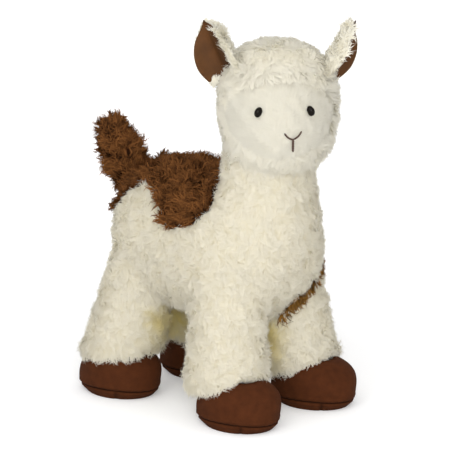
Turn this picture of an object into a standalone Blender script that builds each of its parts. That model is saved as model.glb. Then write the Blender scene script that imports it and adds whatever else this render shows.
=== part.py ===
"""Plush llama: a sewn and stuffed toy that stands on four suede hooves with its head turned.

Frame: +Z up, the body faces -Y, its left side is +X, and the origin lies on the ground under the
middle of the whole toy. Metres throughout.

How it is made. Each padded form (body with neck, head, leg, hoof, tail) is one coarse cage of rings
with a Subdivision Surface. Its fabric is that form less the same form shrunk by the fabric's
thickness, and its stuffing is the form shrunk a little more. Inner surfaces stay coarse. Panels are
cut out of the fabric by their outlines, and each form is cut by the neighbour that it is sewn to,
so seams always meet.
"""

import math

import bmesh
import bpy
from mathutils import Matrix, Vector

# Clearance between pieces that touch, and between the stuffing and the fabric round it
GAP = 0.0003
STUFFING_GAP = 0.0007

# Fabrics
CURLY_PILE = 0.006
SHORT_PILE = 0.003
SUEDE = 0.0015
SATIN = 0.0012
SOLE_THICKNESS = 0.002
SOLE_SEAM_HEIGHT = 0.007

# Body: a barrel that bends up into the neck about the nape
BODY_HALF_WIDTH = 0.0635
BODY_HALF_DEPTH = 0.0565
BODY_AXIS_HEIGHT = 0.1345
RUMP_Y = 0.0850
NAPE_Y = -0.0140
NAPE_CLEARANCE = 0.0060
CHEST_HALF_WIDTH = 0.0650
CHEST_REACH = 0.0760
NECK_RADIUS = 0.0385
NECK_TOP_RADIUS = 0.0320
NECK_TOP_LEAN = 0.0080
NECK_RISE = 0.0150
NECK_TOP = 0.2300

# Head, turned towards the toy's right
HEAD_CENTRE = (-0.0020, -0.0700, 0.2580)
HEAD_TURN = math.radians(-39.0)
HEAD_HALF_WIDTH = 0.0490
HEAD_FRONT = 0.0470
HEAD_BACK = 0.0490
HEAD_HALF_HEIGHT = 0.0520
MUZZLE_REACH = 0.0110
FACE_HALF_WIDTH = 0.0420
FACE_HALF_HEIGHT = 0.0310
FACE_DROP = 0.0050

# Eyes: a domed button with a stem, held by a washer behind the face panel
EYE_SPREAD = 0.0405
EYE_SHIFT = 0.0008
EYE_LIFT = 0.0010
EYE_RADIUS = 0.0041
EYE_DOME = 0.0036
EYE_SQUASH = 0.80
EYE_LEAN = math.radians(10.0)
EYE_STEM_RADIUS = 0.0012
EYE_STEM_PROUD = 0.0010
WASHER_RADIUS = 0.0055
WASHER_THICKNESS = 0.0012

# Mouth: an embroidered Y, a little to the left of the face's middle
MOUTH_SHIFT = 0.0068
MOUTH_DROP = 0.0150
MOUTH_HALF_WIDTH = 0.0068
MOUTH_ARM_RISE = 0.0050
MOUTH_STEM = 0.0095
STITCH_WIDTH = 0.0014
STITCH_HEIGHT = 0.0009

# Ears: a pile back and a satin lining, leaf shaped and cupped
EAR_LENGTH = 0.0530
EAR_HALF_WIDTH = 0.0180
EAR_CUP = 0.0130
EAR_BACK_THICKNESS = 0.0040
EAR_BASE_SPREAD = 0.0355
EAR_BASE_LIFT = 0.0195
RIGHT_EAR_LEAN = math.radians(25.0)
LEFT_EAR_LEAN = math.radians(31.0)
RIGHT_EAR_FACING = math.radians(-38.0)
LEFT_EAR_FACING = math.radians(62.0)
LINING_MARGIN = 0.0030
# Share of the ear's length and share of its half width there
EAR_SHARES = ((0.0, 0.78), (0.22, 0.97), (0.46, 1.0), (0.72, 0.79), (0.90, 0.43), (1.0, 0.14))

# Legs: a tube that leans in from the ankle to the hip or shoulder
LEG_TOP_Z = 0.1220
LEG_TOP_RADIUS = 0.0330
LEG_MID_RADIUS = 0.0310
CUFF_RADIUS = 0.0365
FORE_CUFF_Z = 0.0240
HIND_CUFF_Z = 0.0285
CUFF_SLOPE = math.radians(9.0)
FORE_TOP = (0.0310, -0.0460)
FORE_ANKLE = (0.0430, -0.0550)
HIND_TOP = (0.0300, 0.0480)
HIND_RIGHT_ANKLE = (0.0440, 0.0680)
HIND_LEFT_ANKLE = (0.0400, 0.0590)

# Hooves
HOOF_HALF_WIDTH = 0.0310
HOOF_HALF_LENGTH = 0.0375
HOOF_HEIGHT = 0.0380
HOOF_OPENING_RADIUS = 0.0160
FORE_HOOF = (0.0440, -0.0700)
HIND_RIGHT_HOOF = (0.0455, 0.0660)
HIND_LEFT_HOOF = (0.0390, 0.0560)
FORE_SPLAY = math.radians(4.0)
HIND_SPLAY = math.radians(2.0)

# Tail: a short tuft that stands up and leans back. Its root lies inside the rump, ahead of the
# rump's end and above the body's axis, and the tip's reach is measured from the root.
TAIL_ROOT_INSET = 0.0090
TAIL_ROOT_RISE = 0.0175
TAIL_REACH_BACK = 0.0490
TAIL_REACH_UP = 0.0660
TAIL_SAG = 0.0090
TAIL_RADIUS = 0.0165

# Saddle panel, seen from the side, as Y and Z along its lower edge from the withers to the rump
SADDLE_EDGE = (
    (-0.0360, 0.2010),
    (-0.0410, 0.1930),
    (-0.0370, 0.1850),
    (-0.0400, 0.1720),
    (-0.0300, 0.1600),
    (-0.0080, 0.1530),
    (0.0060, 0.1560),
    (0.0120, 0.1650),
    (0.0240, 0.1720),
    (0.0330, 0.1780),
    (0.0480, 0.1760),
    (0.0590, 0.1690),
    (0.0660, 0.1560),
    (0.0760, 0.1480),
    (0.1100, 0.1480),
)
SADDLE_TOP = 0.2010

# Flank patch, on the left side only
FLANK_CENTRE = (-0.0440, 0.0960)
FLANK_HALF_LENGTH = 0.0370
FLANK_HALF_HEIGHT = 0.0370
FLANK_START = 0.0080

# Counts that set how fine the cages are
BODY_SIDES = 10
HEAD_SIDES = 10
LIMB_SIDES = 8
ROUND_STEPS = 10
CURVE_STEPS = 2
SUBDIVISION = 1

# A block that is larger than the toy, for cuts by a plane
BLOCK = 0.4

# Colours as linear red, green and blue
CREAM = (0.830, 0.745, 0.560)
BROWN_PILE = (0.105, 0.045, 0.020)
SUEDE_BROWN = (0.100, 0.034, 0.014)
SATIN_BROWN = (0.150, 0.060, 0.020)
EYE_BLACK = (0.010, 0.006, 0.004)
THREAD_BROWN = (0.050, 0.020, 0.010)
FIBRE_WHITE = (0.900, 0.890, 0.870)
WASHER_WHITE = (0.800, 0.800, 0.780)


def clear_scene():
    """Remove whatever objects the scene holds."""
    for existing in list(bpy.data.objects):
        bpy.data.objects.remove(existing, do_unlink=True)


def new_collection(name):
    """A collection under the scene's own."""
    collection = bpy.data.collections.new(name)
    bpy.context.scene.collection.children.link(collection)
    return collection


def new_material(name, colour, roughness, coat=0.0):
    """A plain principled material."""
    material = bpy.data.materials.new(name)
    material.use_nodes = True
    shader = material.node_tree.nodes["Principled BSDF"]
    shader.inputs["Base Color"].default_value = (*colour, 1.0)
    shader.inputs["Roughness"].default_value = roughness
    shader.inputs["Metallic"].default_value = 0.0
    shader.inputs["Coat Weight"].default_value = coat
    material.diffuse_color = (*colour, 1.0)
    return material


# Cages


def section(centre, side, depth, half_width, reach_plus, reach_minus, sides, bump=0.0, fullness=1.0):
    """Points of one ring, swollen so that the subdivided surface passes through the sizes given.

    The ring is an ellipse whose depth differs on its two halves. The bump pushes its middle out on
    the plus half, as a muzzle does, and a fullness below 1 squares the minus half, as on a chest.
    """
    swell = 4.0 / (3.0 + math.cos(2.0 * math.pi / sides))
    points = []
    for index in range(sides):
        angle = 2.0 * math.pi * index / sides
        run = math.cos(angle)
        rise = math.sin(angle)
        reach = reach_plus if rise > 0.0 else reach_minus
        if rise < 0.0:
            run = math.copysign(abs(run) ** fullness, run)
            rise = -abs(rise) ** fullness
        extra = bump * max(rise, 0.0) ** 6
        points.append(centre + side * (half_width * swell * run) + depth * (reach * swell * rise + extra))
    return points


def cage_mesh(name, rings):
    """A closed coarse cage through the rings, with one face over each end."""
    cage = bmesh.new()
    loops = [[cage.verts.new(point) for point in ring] for ring in rings]
    for lower, upper in zip(loops, loops[1:]):
        for index, corner in enumerate(lower):
            following = (index + 1) % len(lower)
            cage.faces.new((corner, lower[following], upper[following], upper[index]))
    cage.faces.new(loops[0])
    cage.faces.new(loops[-1])
    bmesh.ops.recalc_face_normals(cage, faces=cage.faces)
    mesh = bpy.data.meshes.new(name)
    cage.to_mesh(mesh)
    cage.free()
    mesh.shade_smooth()
    return mesh


def settled(cage):
    """The cage with its corners moved onto its own form: a coarse stand-in for inner surfaces.

    Its facets are triangles, so that two surfaces at different depths under it never cross.
    """
    probe = swollen(bpy.data.objects.new("probe", cage))
    bpy.context.scene.collection.objects.link(probe)
    form = probe.evaluated_get(bpy.context.evaluated_depsgraph_get()).data
    coarse = cage.copy()
    for corner, settled_corner in zip(coarse.vertices, form.vertices):
        corner.co = settled_corner.co
    bpy.data.objects.remove(probe)
    facets = bmesh.new()
    facets.from_mesh(coarse)
    bmesh.ops.triangulate(facets, faces=facets.faces)
    facets.to_mesh(coarse)
    facets.free()
    coarse.shade_smooth()
    return coarse


def body_cage():
    """The barrel, from the rump forward, and the neck that bends up from it about the nape."""
    side = Vector((1.0, 0.0, 0.0))
    up = Vector((0.0, 0.0, 1.0))
    nape = Vector((0.0, NAPE_Y, BODY_AXIS_HEIGHT + BODY_HALF_DEPTH + NAPE_CLEARANCE))
    # Share of the way from the rump to the nape, then shares of the half width, and of the half
    # depth above and below the axis
    barrel = (
        (0.0, 0.40, 0.46, 0.44),
        (0.10, 0.80, 0.87, 0.83),
        (0.32, 0.99, 1.06, 1.0),
        (0.62, 1.0, 1.05, 1.10),
        (0.88, 1.0, 0.98, 1.20),
    )
    rings = []
    for share, width, above, below in barrel:
        centre = Vector((0.0, RUMP_Y + share * (NAPE_Y - RUMP_Y), BODY_AXIS_HEIGHT))
        rings.append(section(centre, side, up, BODY_HALF_WIDTH * width, BODY_HALF_DEPTH * above,
                             BODY_HALF_DEPTH * below, BODY_SIDES, fullness=0.9))
    # Tilt of the section, how far it has gone from the chest's size to the neck's, and its fullness
    for degrees, blend, fullness in ((26.0, 0.0, 0.75), (51.0, 0.46, 0.85), (75.0, 0.95, 1.0)):
        tilt = math.radians(degrees)
        back = Vector((0.0, math.sin(tilt), math.cos(tilt)))
        half_width = CHEST_HALF_WIDTH + blend * (NECK_RADIUS - CHEST_HALF_WIDTH)
        half_depth = BODY_HALF_DEPTH + blend * (NECK_RADIUS - BODY_HALF_DEPTH)
        reach = CHEST_REACH + blend * (NECK_RADIUS - CHEST_REACH)
        centre = nape - back * (half_depth + NAPE_CLEARANCE)
        rings.append(section(centre, side, back, half_width, half_depth, reach, BODY_SIDES, fullness=fullness))
    back = Vector((0.0, 1.0, 0.0))
    neck = nape - back * (NECK_RADIUS + NAPE_CLEARANCE)
    lean = Vector((0.0, -NECK_TOP_LEAN, 0.0))
    top = Vector((0.0, neck.y, NECK_TOP)) + lean
    rings.append(section(neck + up * NECK_RISE, side, back, NECK_RADIUS, NECK_RADIUS, NECK_RADIUS, BODY_SIDES))
    for rise in (0.0, NECK_RISE):
        rings.append(section(top + up * rise, side, back, NECK_TOP_RADIUS, NECK_TOP_RADIUS,
                             NECK_TOP_RADIUS, BODY_SIDES))
    return cage_mesh("body_cage", rings)


def head_cage():
    """The head about its own centre, facing -Y: round cheeks, a dome and a short muzzle."""
    side = Vector((1.0, 0.0, 0.0))
    front = Vector((0.0, -1.0, 0.0))
    # Shares of the half height, half width, front and back, then of the muzzle's reach
    levels = (
        (0.97, 0.34, 0.34, 0.34, 0.0),
        (0.84, 0.67, 0.63, 0.67, 0.0),
        (0.54, 0.925, 0.88, 0.91, 0.0),
        (0.14, 1.0, 0.985, 1.0, 0.10),
        (-0.24, 1.0, 1.0, 0.99, 0.65),
        (-0.58, 0.92, 0.95, 0.91, 1.0),
        (-0.87, 0.79, 0.80, 0.80, 0.60),
        (-1.02, 0.60, 0.58, 0.60, 0.10),
    )
    rings = []
    for height, width, forward, backward, muzzle in levels:
        centre = Vector((0.0, 0.0, HEAD_HALF_HEIGHT * height))
        rings.append(section(centre, side, front, HEAD_HALF_WIDTH * width, HEAD_FRONT * forward,
                             HEAD_BACK * backward, HEAD_SIDES, MUZZLE_REACH * muzzle))
    return cage_mesh("head_cage", rings)


def leg_cage(name, hand, top, ankle, cuff_height):
    """A leg from inside the body down past the cuff, on the side that hand gives."""
    side = Vector((1.0, 0.0, 0.0))
    front = Vector((0.0, -1.0, 0.0))
    high = Vector((hand * top[0], top[1], LEG_TOP_Z))
    low = Vector((hand * ankle[0], ankle[1], cuff_height))
    # Share of the way down, then the radius there
    stations = (
        (-0.10, 0.6 * LEG_TOP_RADIUS),
        (0.0, LEG_TOP_RADIUS),
        (0.45, LEG_MID_RADIUS),
        (0.88, CUFF_RADIUS),
        (1.15, CUFF_RADIUS),
    )
    rings = []
    for share, radius in stations:
        centre = high.lerp(low, share)
        rings.append(section(centre, side, front, radius, radius, radius, LIMB_SIDES))
    return cage_mesh(name, rings)


def hoof_cage():
    """A hoof about its own ground centre, toe to -Y, running a little below the ground."""
    side = Vector((1.0, 0.0, 0.0))
    front = Vector((0.0, -1.0, 0.0))
    # Shares of the height, half width and half length
    levels = ((-0.18, 0.80, 0.80), (0.12, 0.99, 0.99), (0.42, 1.0, 1.0), (0.78, 0.82, 0.82), (1.02, 0.42, 0.42))
    rings = []
    for height, width, length in levels:
        centre = Vector((0.0, 0.0, HOOF_HEIGHT * height))
        rings.append(section(centre, side, front, HOOF_HALF_WIDTH * width, HOOF_HALF_LENGTH * length,
                             HOOF_HALF_LENGTH * length, LIMB_SIDES))
    return cage_mesh("hoof_cage", rings)


def tail_cage():
    """The tail along a bowed line from inside the rump to its tip."""
    side = Vector((1.0, 0.0, 0.0))
    root = Vector((0.0, RUMP_Y - TAIL_ROOT_INSET, BODY_AXIS_HEIGHT + TAIL_ROOT_RISE))
    tip = root + Vector((0.0, TAIL_REACH_BACK, TAIL_REACH_UP))
    along = (tip - root).normalized()
    bow = Vector((0.0, along.z, -along.y))
    # Share of the way up and share of the radius
    stations = ((0.0, 0.74), (0.35, 0.92), (0.68, 1.0), (0.92, 0.72), (1.0, 0.30))
    rings = []
    for share, radius in stations:
        centre = root.lerp(tip, share) + bow * (TAIL_SAG * math.sin(math.pi * share))
        rings.append(section(centre, side, bow, TAIL_RADIUS * radius, TAIL_RADIUS * radius,
                             TAIL_RADIUS * radius, LIMB_SIDES))
    return cage_mesh("tail_cage", rings)


def ear_cage():
    """An open cupped leaf with its root at the origin, its length along +Z and its hollow to -Y."""
    leaf = bmesh.new()
    rows = []
    for share, width in EAR_SHARES:
        row = []
        for step in (-1.0, 0.0, 1.0):
            hollow = EAR_CUP * (width * step) ** 2
            row.append(leaf.verts.new((EAR_HALF_WIDTH * width * step, -hollow, EAR_LENGTH * share)))
        rows.append(row)
    for lower, upper in zip(rows, rows[1:]):
        for near, far in ((0, 1), (1, 2)):
            leaf.faces.new((lower[near], lower[far], upper[far], upper[near]))
    mesh = bpy.data.meshes.new("ear_leaf")
    leaf.to_mesh(mesh)
    leaf.free()
    mesh.shade_smooth()
    return mesh


class Workshop:
    """Makes objects in the toy's two collections, all under one empty."""

    def __init__(self):
        self.parts = new_collection("plush_llama")
        self.cutters = new_collection("plush_llama_cutters")
        self.root = bpy.data.objects.new("plush_llama_root", None)
        bpy.context.scene.collection.objects.link(self.root)

    def _object(self, name, mesh, collection, place):
        item = bpy.data.objects.new(name, mesh)
        collection.objects.link(item)
        item.parent = self.root
        item.matrix_basis = place
        return item

    def part(self, name, mesh, material, place=Matrix()):
        """A sub-part with a mesh and a material of its own."""
        own_mesh = mesh.copy()
        own_mesh.name = name
        own_mesh.materials.clear()
        own_mesh.materials.append(material)
        return self._object(name, own_mesh, self.parts, place)

    def cutter(self, name, mesh, place=Matrix()):
        """A shape that only cuts."""
        item = self._object(name, mesh, self.cutters, place)
        item.hide_render = True
        item.display_type = "WIRE"
        return item


def swollen(item, distance=0.0):
    """Subdivide a cage into its form and move the surface out along its normals, or in if negative."""
    subdivide = item.modifiers.new("form", "SUBSURF")
    subdivide.levels = SUBDIVISION
    subdivide.render_levels = SUBDIVISION
    if distance:
        shrunk(item, -distance)
    return item


def shrunk(item, distance):
    """Move a settled cage's surface in along its normals."""
    displace = item.modifiers.new("offset", "DISPLACE")
    displace.strength = -distance
    displace.mid_level = 0.0
    return item


def boolean(item, cutters, operation):
    """Add one exact Boolean for each cutter."""
    for cutter in cutters:
        modifier = item.modifiers.new(cutter.name, "BOOLEAN")
        modifier.operation = operation
        modifier.solver = "EXACT"
        modifier.object = cutter
    return item


def cut(item, *cutters):
    """Take the cutters away."""
    return boolean(item, cutters, "DIFFERENCE")


def keep(item, *cutters):
    """Keep only what lies in the cutters."""
    return boolean(item, cutters, "INTERSECT")


def add(item, *others):
    """Join the others on."""
    return boolean(item, others, "UNION")


def box_mesh(name, low, high):
    """A block between two corners."""
    bpy.ops.mesh.primitive_cube_add(size=1.0)
    block = bpy.context.object
    mesh = block.data
    mesh.name = name
    low = Vector(low)
    high = Vector(high)
    mesh.transform(Matrix.Translation((low + high) / 2.0) @ Matrix.Diagonal((*(high - low), 1.0)))
    bpy.data.objects.remove(block)
    return mesh


def rod_mesh(name, radius, start, end, steps=ROUND_STEPS):
    """A round rod along Y."""
    bpy.ops.mesh.primitive_cylinder_add(vertices=steps, radius=radius, depth=end - start)
    rod = bpy.context.object
    mesh = rod.data
    mesh.name = name
    mesh.transform(Matrix.Translation((0.0, (start + end) / 2.0, 0.0)) @ Matrix.Rotation(math.pi / 2.0, 4, "X"))
    bpy.data.objects.remove(rod)
    return mesh


def outline_mesh(name, outlines, half_thickness, clearance=0.0, smooth=True):
    """A slab whose faces are flat outlines in X and Y, extruded along Z and grown by the clearance."""
    curve = bpy.data.curves.new(name, "CURVE")
    curve.dimensions = "2D"
    curve.fill_mode = "BOTH"
    curve.extrude = half_thickness
    curve.offset = clearance
    curve.resolution_u = CURVE_STEPS
    for points in outlines:
        spline = curve.splines.new("BEZIER" if smooth else "POLY")
        if smooth:
            spline.bezier_points.add(len(points) - 1)
            for knot, point in zip(spline.bezier_points, points):
                knot.co = (point[0], point[1], 0.0)
                knot.handle_left_type = "AUTO"
                knot.handle_right_type = "AUTO"
        else:
            spline.points.add(len(points) - 1)
            for knot, point in zip(spline.points, points):
                knot.co = (point[0], point[1], 0.0, 1.0)
        spline.use_cyclic_u = True
    holder = bpy.data.objects.new(name, curve)
    bpy.context.scene.collection.objects.link(holder)
    evaluated = holder.evaluated_get(bpy.context.evaluated_depsgraph_get())
    mesh = bpy.data.meshes.new_from_object(evaluated)
    mesh.name = name
    bpy.data.objects.remove(holder)
    bpy.data.curves.remove(curve)
    slab = bmesh.new()
    slab.from_mesh(mesh)
    bmesh.ops.remove_doubles(slab, verts=slab.verts, dist=0.00001)
    bmesh.ops.recalc_face_normals(slab, faces=slab.faces)
    slab.to_mesh(mesh)
    slab.free()
    return mesh


def side_slab(workshop, name, outlines, near, far, clearance=0.0, smooth=True):
    """A cutter whose outline is drawn in Y and Z and which runs along X from near to far."""
    mesh = outline_mesh(name, outlines, (far - near) / 2.0 + clearance, clearance, smooth)
    turn = Matrix(((0.0, 0.0, 1.0, 0.0), (1.0, 0.0, 0.0, 0.0), (0.0, 1.0, 0.0, 0.0), (0.0, 0.0, 0.0, 1.0)))
    mesh.transform(Matrix.Translation(((near + far) / 2.0, 0.0, 0.0)) @ turn)
    return workshop.cutter(name, mesh)


def front_slab(workshop, name, outlines, near, far, place, clearance=0.0, smooth=True):
    """A cutter whose outline is drawn in X and Z and which runs along -Y from near to far."""
    mesh = outline_mesh(name, outlines, (far - near) / 2.0 + clearance, clearance, smooth)
    mesh.transform(Matrix.Translation((0.0, -(near + far) / 2.0, 0.0)) @ Matrix.Rotation(math.pi / 2.0, 4, "X"))
    return workshop.cutter(name, mesh, place)


def oval(centre, half_width, half_height, count=8):
    """Knots of an ellipse."""
    turns = [2.0 * math.pi * index / count for index in range(count)]
    return [(centre[0] + half_width * math.cos(turn), centre[1] + half_height * math.sin(turn)) for turn in turns]


# Body


def build_body(workshop, cage, materials):
    """The two side panels, the saddle panel, the flank patch and the stuffing inside."""
    coarse = settled(cage)
    hollow = shrunk(workshop.cutter("body_hollow", coarse), CURLY_PILE)
    above = workshop.cutter("above_neck", box_mesh("above_neck", (-BLOCK, -BLOCK, NECK_TOP), (BLOCK, BLOCK, 2 * BLOCK)))
    saddle_outline = SADDLE_EDGE + ((SADDLE_EDGE[-1][0], SADDLE_TOP),)
    flank_outline = oval(FLANK_CENTRE, FLANK_HALF_LENGTH, FLANK_HALF_HEIGHT)
    saddle_shape = side_slab(workshop, "saddle_shape", [saddle_outline], -BLOCK, BLOCK, smooth=False)
    saddle_space = side_slab(workshop, "saddle_space", [saddle_outline], -BLOCK, BLOCK, GAP, smooth=False)
    flank_shape = side_slab(workshop, "flank_shape", [flank_outline], FLANK_START, BLOCK)
    flank_space = side_slab(workshop, "flank_space", [flank_outline], FLANK_START, BLOCK, GAP)
    right_half = box_mesh("right_half", (-BLOCK, -BLOCK, -BLOCK), (-GAP / 2, BLOCK, BLOCK))
    left_half = box_mesh("left_half", (GAP / 2, -BLOCK, -BLOCK), (BLOCK, BLOCK, BLOCK))

    right = swollen(workshop.part("body_side_right", cage, materials["cream_pile"]))
    cut(right, hollow, above, saddle_space)
    keep(right, workshop.cutter("right_half", right_half))

    left = swollen(workshop.part("body_side_left", cage, materials["cream_pile"]))
    cut(left, hollow, above, saddle_space, flank_space)
    keep(left, workshop.cutter("left_half", left_half))

    saddle = swollen(workshop.part("saddle_panel", cage, materials["brown_pile"]))
    keep(cut(saddle, hollow), saddle_shape)

    flank = swollen(workshop.part("flank_patch", cage, materials["brown_pile"]))
    keep(cut(flank, hollow), flank_shape)

    stuffing = shrunk(workshop.part("body_stuffing", coarse, materials["fibre"]), CURLY_PILE + STUFFING_GAP)
    cut(stuffing, above)


# Head


def head_place():
    """Where the head's own frame lies."""
    return Matrix.Translation(HEAD_CENTRE) @ Matrix.Rotation(HEAD_TURN, 4, "Z")


def surface_point(cage, across, height):
    """The point of the form in front of a place, and its outward normal, in the cage's own frame."""
    probe = bpy.data.objects.new("probe", cage)
    bpy.context.scene.collection.objects.link(probe)
    swollen(probe)
    evaluated = probe.evaluated_get(bpy.context.evaluated_depsgraph_get())
    origin = Vector((across, -BLOCK, height))
    hit, point, normal, _ = evaluated.ray_cast(origin, Vector((0.0, 1.0, 0.0)))
    if not hit:
        raise ValueError("the place lies off the form")
    bpy.data.objects.remove(probe)
    return point, normal


def facing(point, normal, roll):
    """A frame at a point of the surface whose -Y is the outward normal, rolled about it."""
    outward = normal.normalized()
    up = Vector((0.0, 0.0, 1.0))
    side = outward.cross(up).normalized()
    above = side.cross(outward)
    frame = Matrix((side, -outward, above)).transposed().to_4x4()
    if frame.determinant() < 0.0:
        frame = Matrix((-side, -outward, above)).transposed().to_4x4()
    return Matrix.Translation(point) @ frame @ Matrix.Rotation(roll, 4, "Y")


def washer_depth():
    """How far behind the face's surface a washer bears, where its rim meets the curved panel."""
    return SHORT_PILE + GAP + WASHER_RADIUS ** 2 / HEAD_HALF_WIDTH


def stem_end():
    """How far behind the face's surface an eye's stem ends."""
    return washer_depth() + WASHER_THICKNESS + EYE_STEM_PROUD


def button_mesh(name):
    """An eye turned about Y: a domed front towards -Y and a stem behind it."""
    dome_steps = 4
    points = [(0.0, -stem_end()), (EYE_STEM_RADIUS, -stem_end()), (EYE_STEM_RADIUS, GAP), (EYE_RADIUS, GAP)]
    for step in range(1, dome_steps + 1):
        angle = 0.5 * math.pi * step / dome_steps
        radius = EYE_RADIUS * math.cos(angle) if step < dome_steps else 0.0
        points.append((radius, GAP + EYE_DOME * math.sin(angle)))
    return spun_mesh(name, points)


def spun_mesh(name, points):
    """Spin a profile of radius and reach about Y, with reach towards -Y."""
    work = bmesh.new()
    corners = [work.verts.new((radius, -reach, 0.0)) for radius, reach in points]
    edges = [work.edges.new(pair) for pair in zip(corners, corners[1:])]
    bmesh.ops.spin(work, geom=corners + edges, cent=(0.0, 0.0, 0.0), axis=(0.0, 1.0, 0.0),
                   angle=2.0 * math.pi, steps=ROUND_STEPS, use_merge=True)
    bmesh.ops.remove_doubles(work, verts=work.verts, dist=0.000001)
    bmesh.ops.recalc_face_normals(work, faces=work.faces)
    mesh = bpy.data.meshes.new(name)
    work.to_mesh(mesh)
    work.free()
    mesh.shade_smooth()
    mesh.set_sharp_from_angle(angle=math.radians(50.0))
    return mesh


def washer_mesh(name):
    """A flat ring about Y that bears on the back of the face panel."""
    hole = EYE_STEM_RADIUS + GAP
    front = -washer_depth()
    rear = front - WASHER_THICKNESS
    return spun_mesh(name, [(hole, front), (WASHER_RADIUS, front), (WASHER_RADIUS, rear), (hole, rear), (hole, front)])


def build_eyes(workshop, cage, materials, face, stuffing):
    """Each eye on the face panel, its stem through the panel and its washer in the stuffing."""
    for hand, word in ((-1.0, "right"), (1.0, "left")):
        point, normal = surface_point(cage, EYE_SHIFT + hand * EYE_SPREAD / 2.0, EYE_LIFT)
        place = head_place() @ facing(point, normal, hand * EYE_LEAN)
        squash = Matrix.Diagonal((EYE_SQUASH, 1.0, 1.0, 1.0))
        button = button_mesh("eye_" + word)
        button.transform(squash)
        workshop.part("eye_" + word, button, materials["eye"], place)
        hole = rod_mesh("stem_hole_" + word, EYE_STEM_RADIUS + GAP, -GAP, washer_depth())
        cut(face, workshop.cutter("stem_hole_" + word, hole, place))
        workshop.part("eye_washer_" + word, washer_mesh("eye_washer_" + word), materials["washer"], place)
        pocket = rod_mesh("washer_pocket_" + word, WASHER_RADIUS + GAP, 0.0, stem_end() + GAP)
        cut(stuffing, workshop.cutter("washer_pocket_" + word, pocket, place))


def build_mouth(workshop, cage, materials):
    """The embroidered Y, which stands on the face panel and follows its surface."""
    half = STITCH_WIDTH / 2.0
    arm_height = -MOUTH_DROP
    joint_height = arm_height - MOUTH_ARM_RISE
    foot_height = joint_height - MOUTH_STEM
    outline = [
        (MOUTH_SHIFT + MOUTH_HALF_WIDTH, arm_height + half),
        (MOUTH_SHIFT, joint_height + STITCH_WIDTH),
        (MOUTH_SHIFT - MOUTH_HALF_WIDTH, arm_height + half),
        (MOUTH_SHIFT - MOUTH_HALF_WIDTH, arm_height - half),
        (MOUTH_SHIFT - half, joint_height - half),
        (MOUTH_SHIFT - half, foot_height),
        (MOUTH_SHIFT + half, foot_height),
        (MOUTH_SHIFT + half, joint_height - half),
        (MOUTH_SHIFT + MOUTH_HALF_WIDTH, arm_height - half),
    ]
    place = head_place()
    shape = front_slab(workshop, "mouth_shape", [outline], 0.5 * HEAD_FRONT, 2.0 * HEAD_FRONT, place, smooth=False)
    under = swollen(workshop.cutter("mouth_under", cage, place), GAP)
    mouth = swollen(workshop.part("mouth_stitching", cage, materials["thread"], place), GAP + STITCH_HEIGHT)
    keep(cut(mouth, under), shape)


def build_ears(workshop, cage, materials):
    """Each ear's pile back and satin lining, both cut to sit on the head."""
    head = swollen(workshop.cutter("head_space", cage, head_place()), GAP)
    leaf = ear_cage()
    inner = [(EAR_HALF_WIDTH * width - LINING_MARGIN, EAR_LENGTH * share) for share, width in EAR_SHARES[:-1]]
    tip = [(0.0, EAR_LENGTH - 2.0 * LINING_MARGIN)]
    lining_outline = inner + tip + [(-across, height) for across, height in reversed(inner)]
    ears = ((-1.0, "right", RIGHT_EAR_LEAN, RIGHT_EAR_FACING), (1.0, "left", LEFT_EAR_LEAN, LEFT_EAR_FACING))
    for hand, word, ear_lean, turn in ears:
        root = Matrix.Translation((hand * EAR_BASE_SPREAD, 0.0, EAR_BASE_LIFT))
        lean = Matrix.Rotation(hand * ear_lean, 4, "Y")
        place = head_place() @ root @ lean @ Matrix.Rotation(turn, 4, "Z")
        back = workshop.part("ear_back_" + word, leaf, materials["cream_pile"], place)
        lining = workshop.part("ear_lining_" + word, leaf, materials["satin"], place)
        lining_shape = front_slab(workshop, "lining_shape_" + word, [lining_outline], -EAR_HALF_WIDTH,
                                  2.0 * EAR_HALF_WIDTH, place, smooth=False)
        for piece, clearance, thickness, offset in ((back, 0.0, EAR_BACK_THICKNESS, -1.0), (lining, GAP, SATIN, 1.0)):
            swollen(piece, clearance)
            solid = piece.modifiers.new("thickness", "SOLIDIFY")
            solid.thickness = thickness
            solid.offset = offset
            cut(piece, head)
        keep(lining, lining_shape)


def build_head(workshop, cage, body, materials):
    """The face panel, the panel round the rest of the head, the stuffing and all that they carry."""
    place = head_place()
    face_outline = oval((0.0, -FACE_DROP), FACE_HALF_WIDTH, FACE_HALF_HEIGHT)
    reach = 2.0 * HEAD_FRONT
    near = 0.15 * HEAD_FRONT
    face_shape = front_slab(workshop, "face_shape", [face_outline], near, reach, place)
    face_space = front_slab(workshop, "face_space", [face_outline], near, reach, place, GAP)
    pad_shape = front_slab(workshop, "pad_shape", [face_outline], near, reach, place, -GAP)
    coarse = settled(cage)
    curly_hollow = shrunk(workshop.cutter("head_hollow", coarse, place), CURLY_PILE)
    short_hollow = swollen(workshop.cutter("face_hollow", cage, place), -SHORT_PILE)
    neck_space = swollen(workshop.cutter("neck_space", body), GAP)

    panel = swollen(workshop.part("head_panel", cage, materials["cream_pile"], place))
    cut(panel, curly_hollow, face_space, neck_space)

    face = swollen(workshop.part("face_panel", cage, materials["face_pile"], place))
    keep(cut(face, short_hollow, neck_space), face_shape)

    pad = shrunk(workshop.cutter("face_pad", coarse, place), SHORT_PILE + STUFFING_GAP)
    keep(pad, pad_shape)
    stuffing = shrunk(workshop.part("head_stuffing", coarse, materials["fibre"], place), CURLY_PILE + STUFFING_GAP)
    cut(add(stuffing, pad), neck_space)

    build_eyes(workshop, cage, materials, face, stuffing)
    build_mouth(workshop, cage, materials)
    build_ears(workshop, cage, materials)


# Tail


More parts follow.
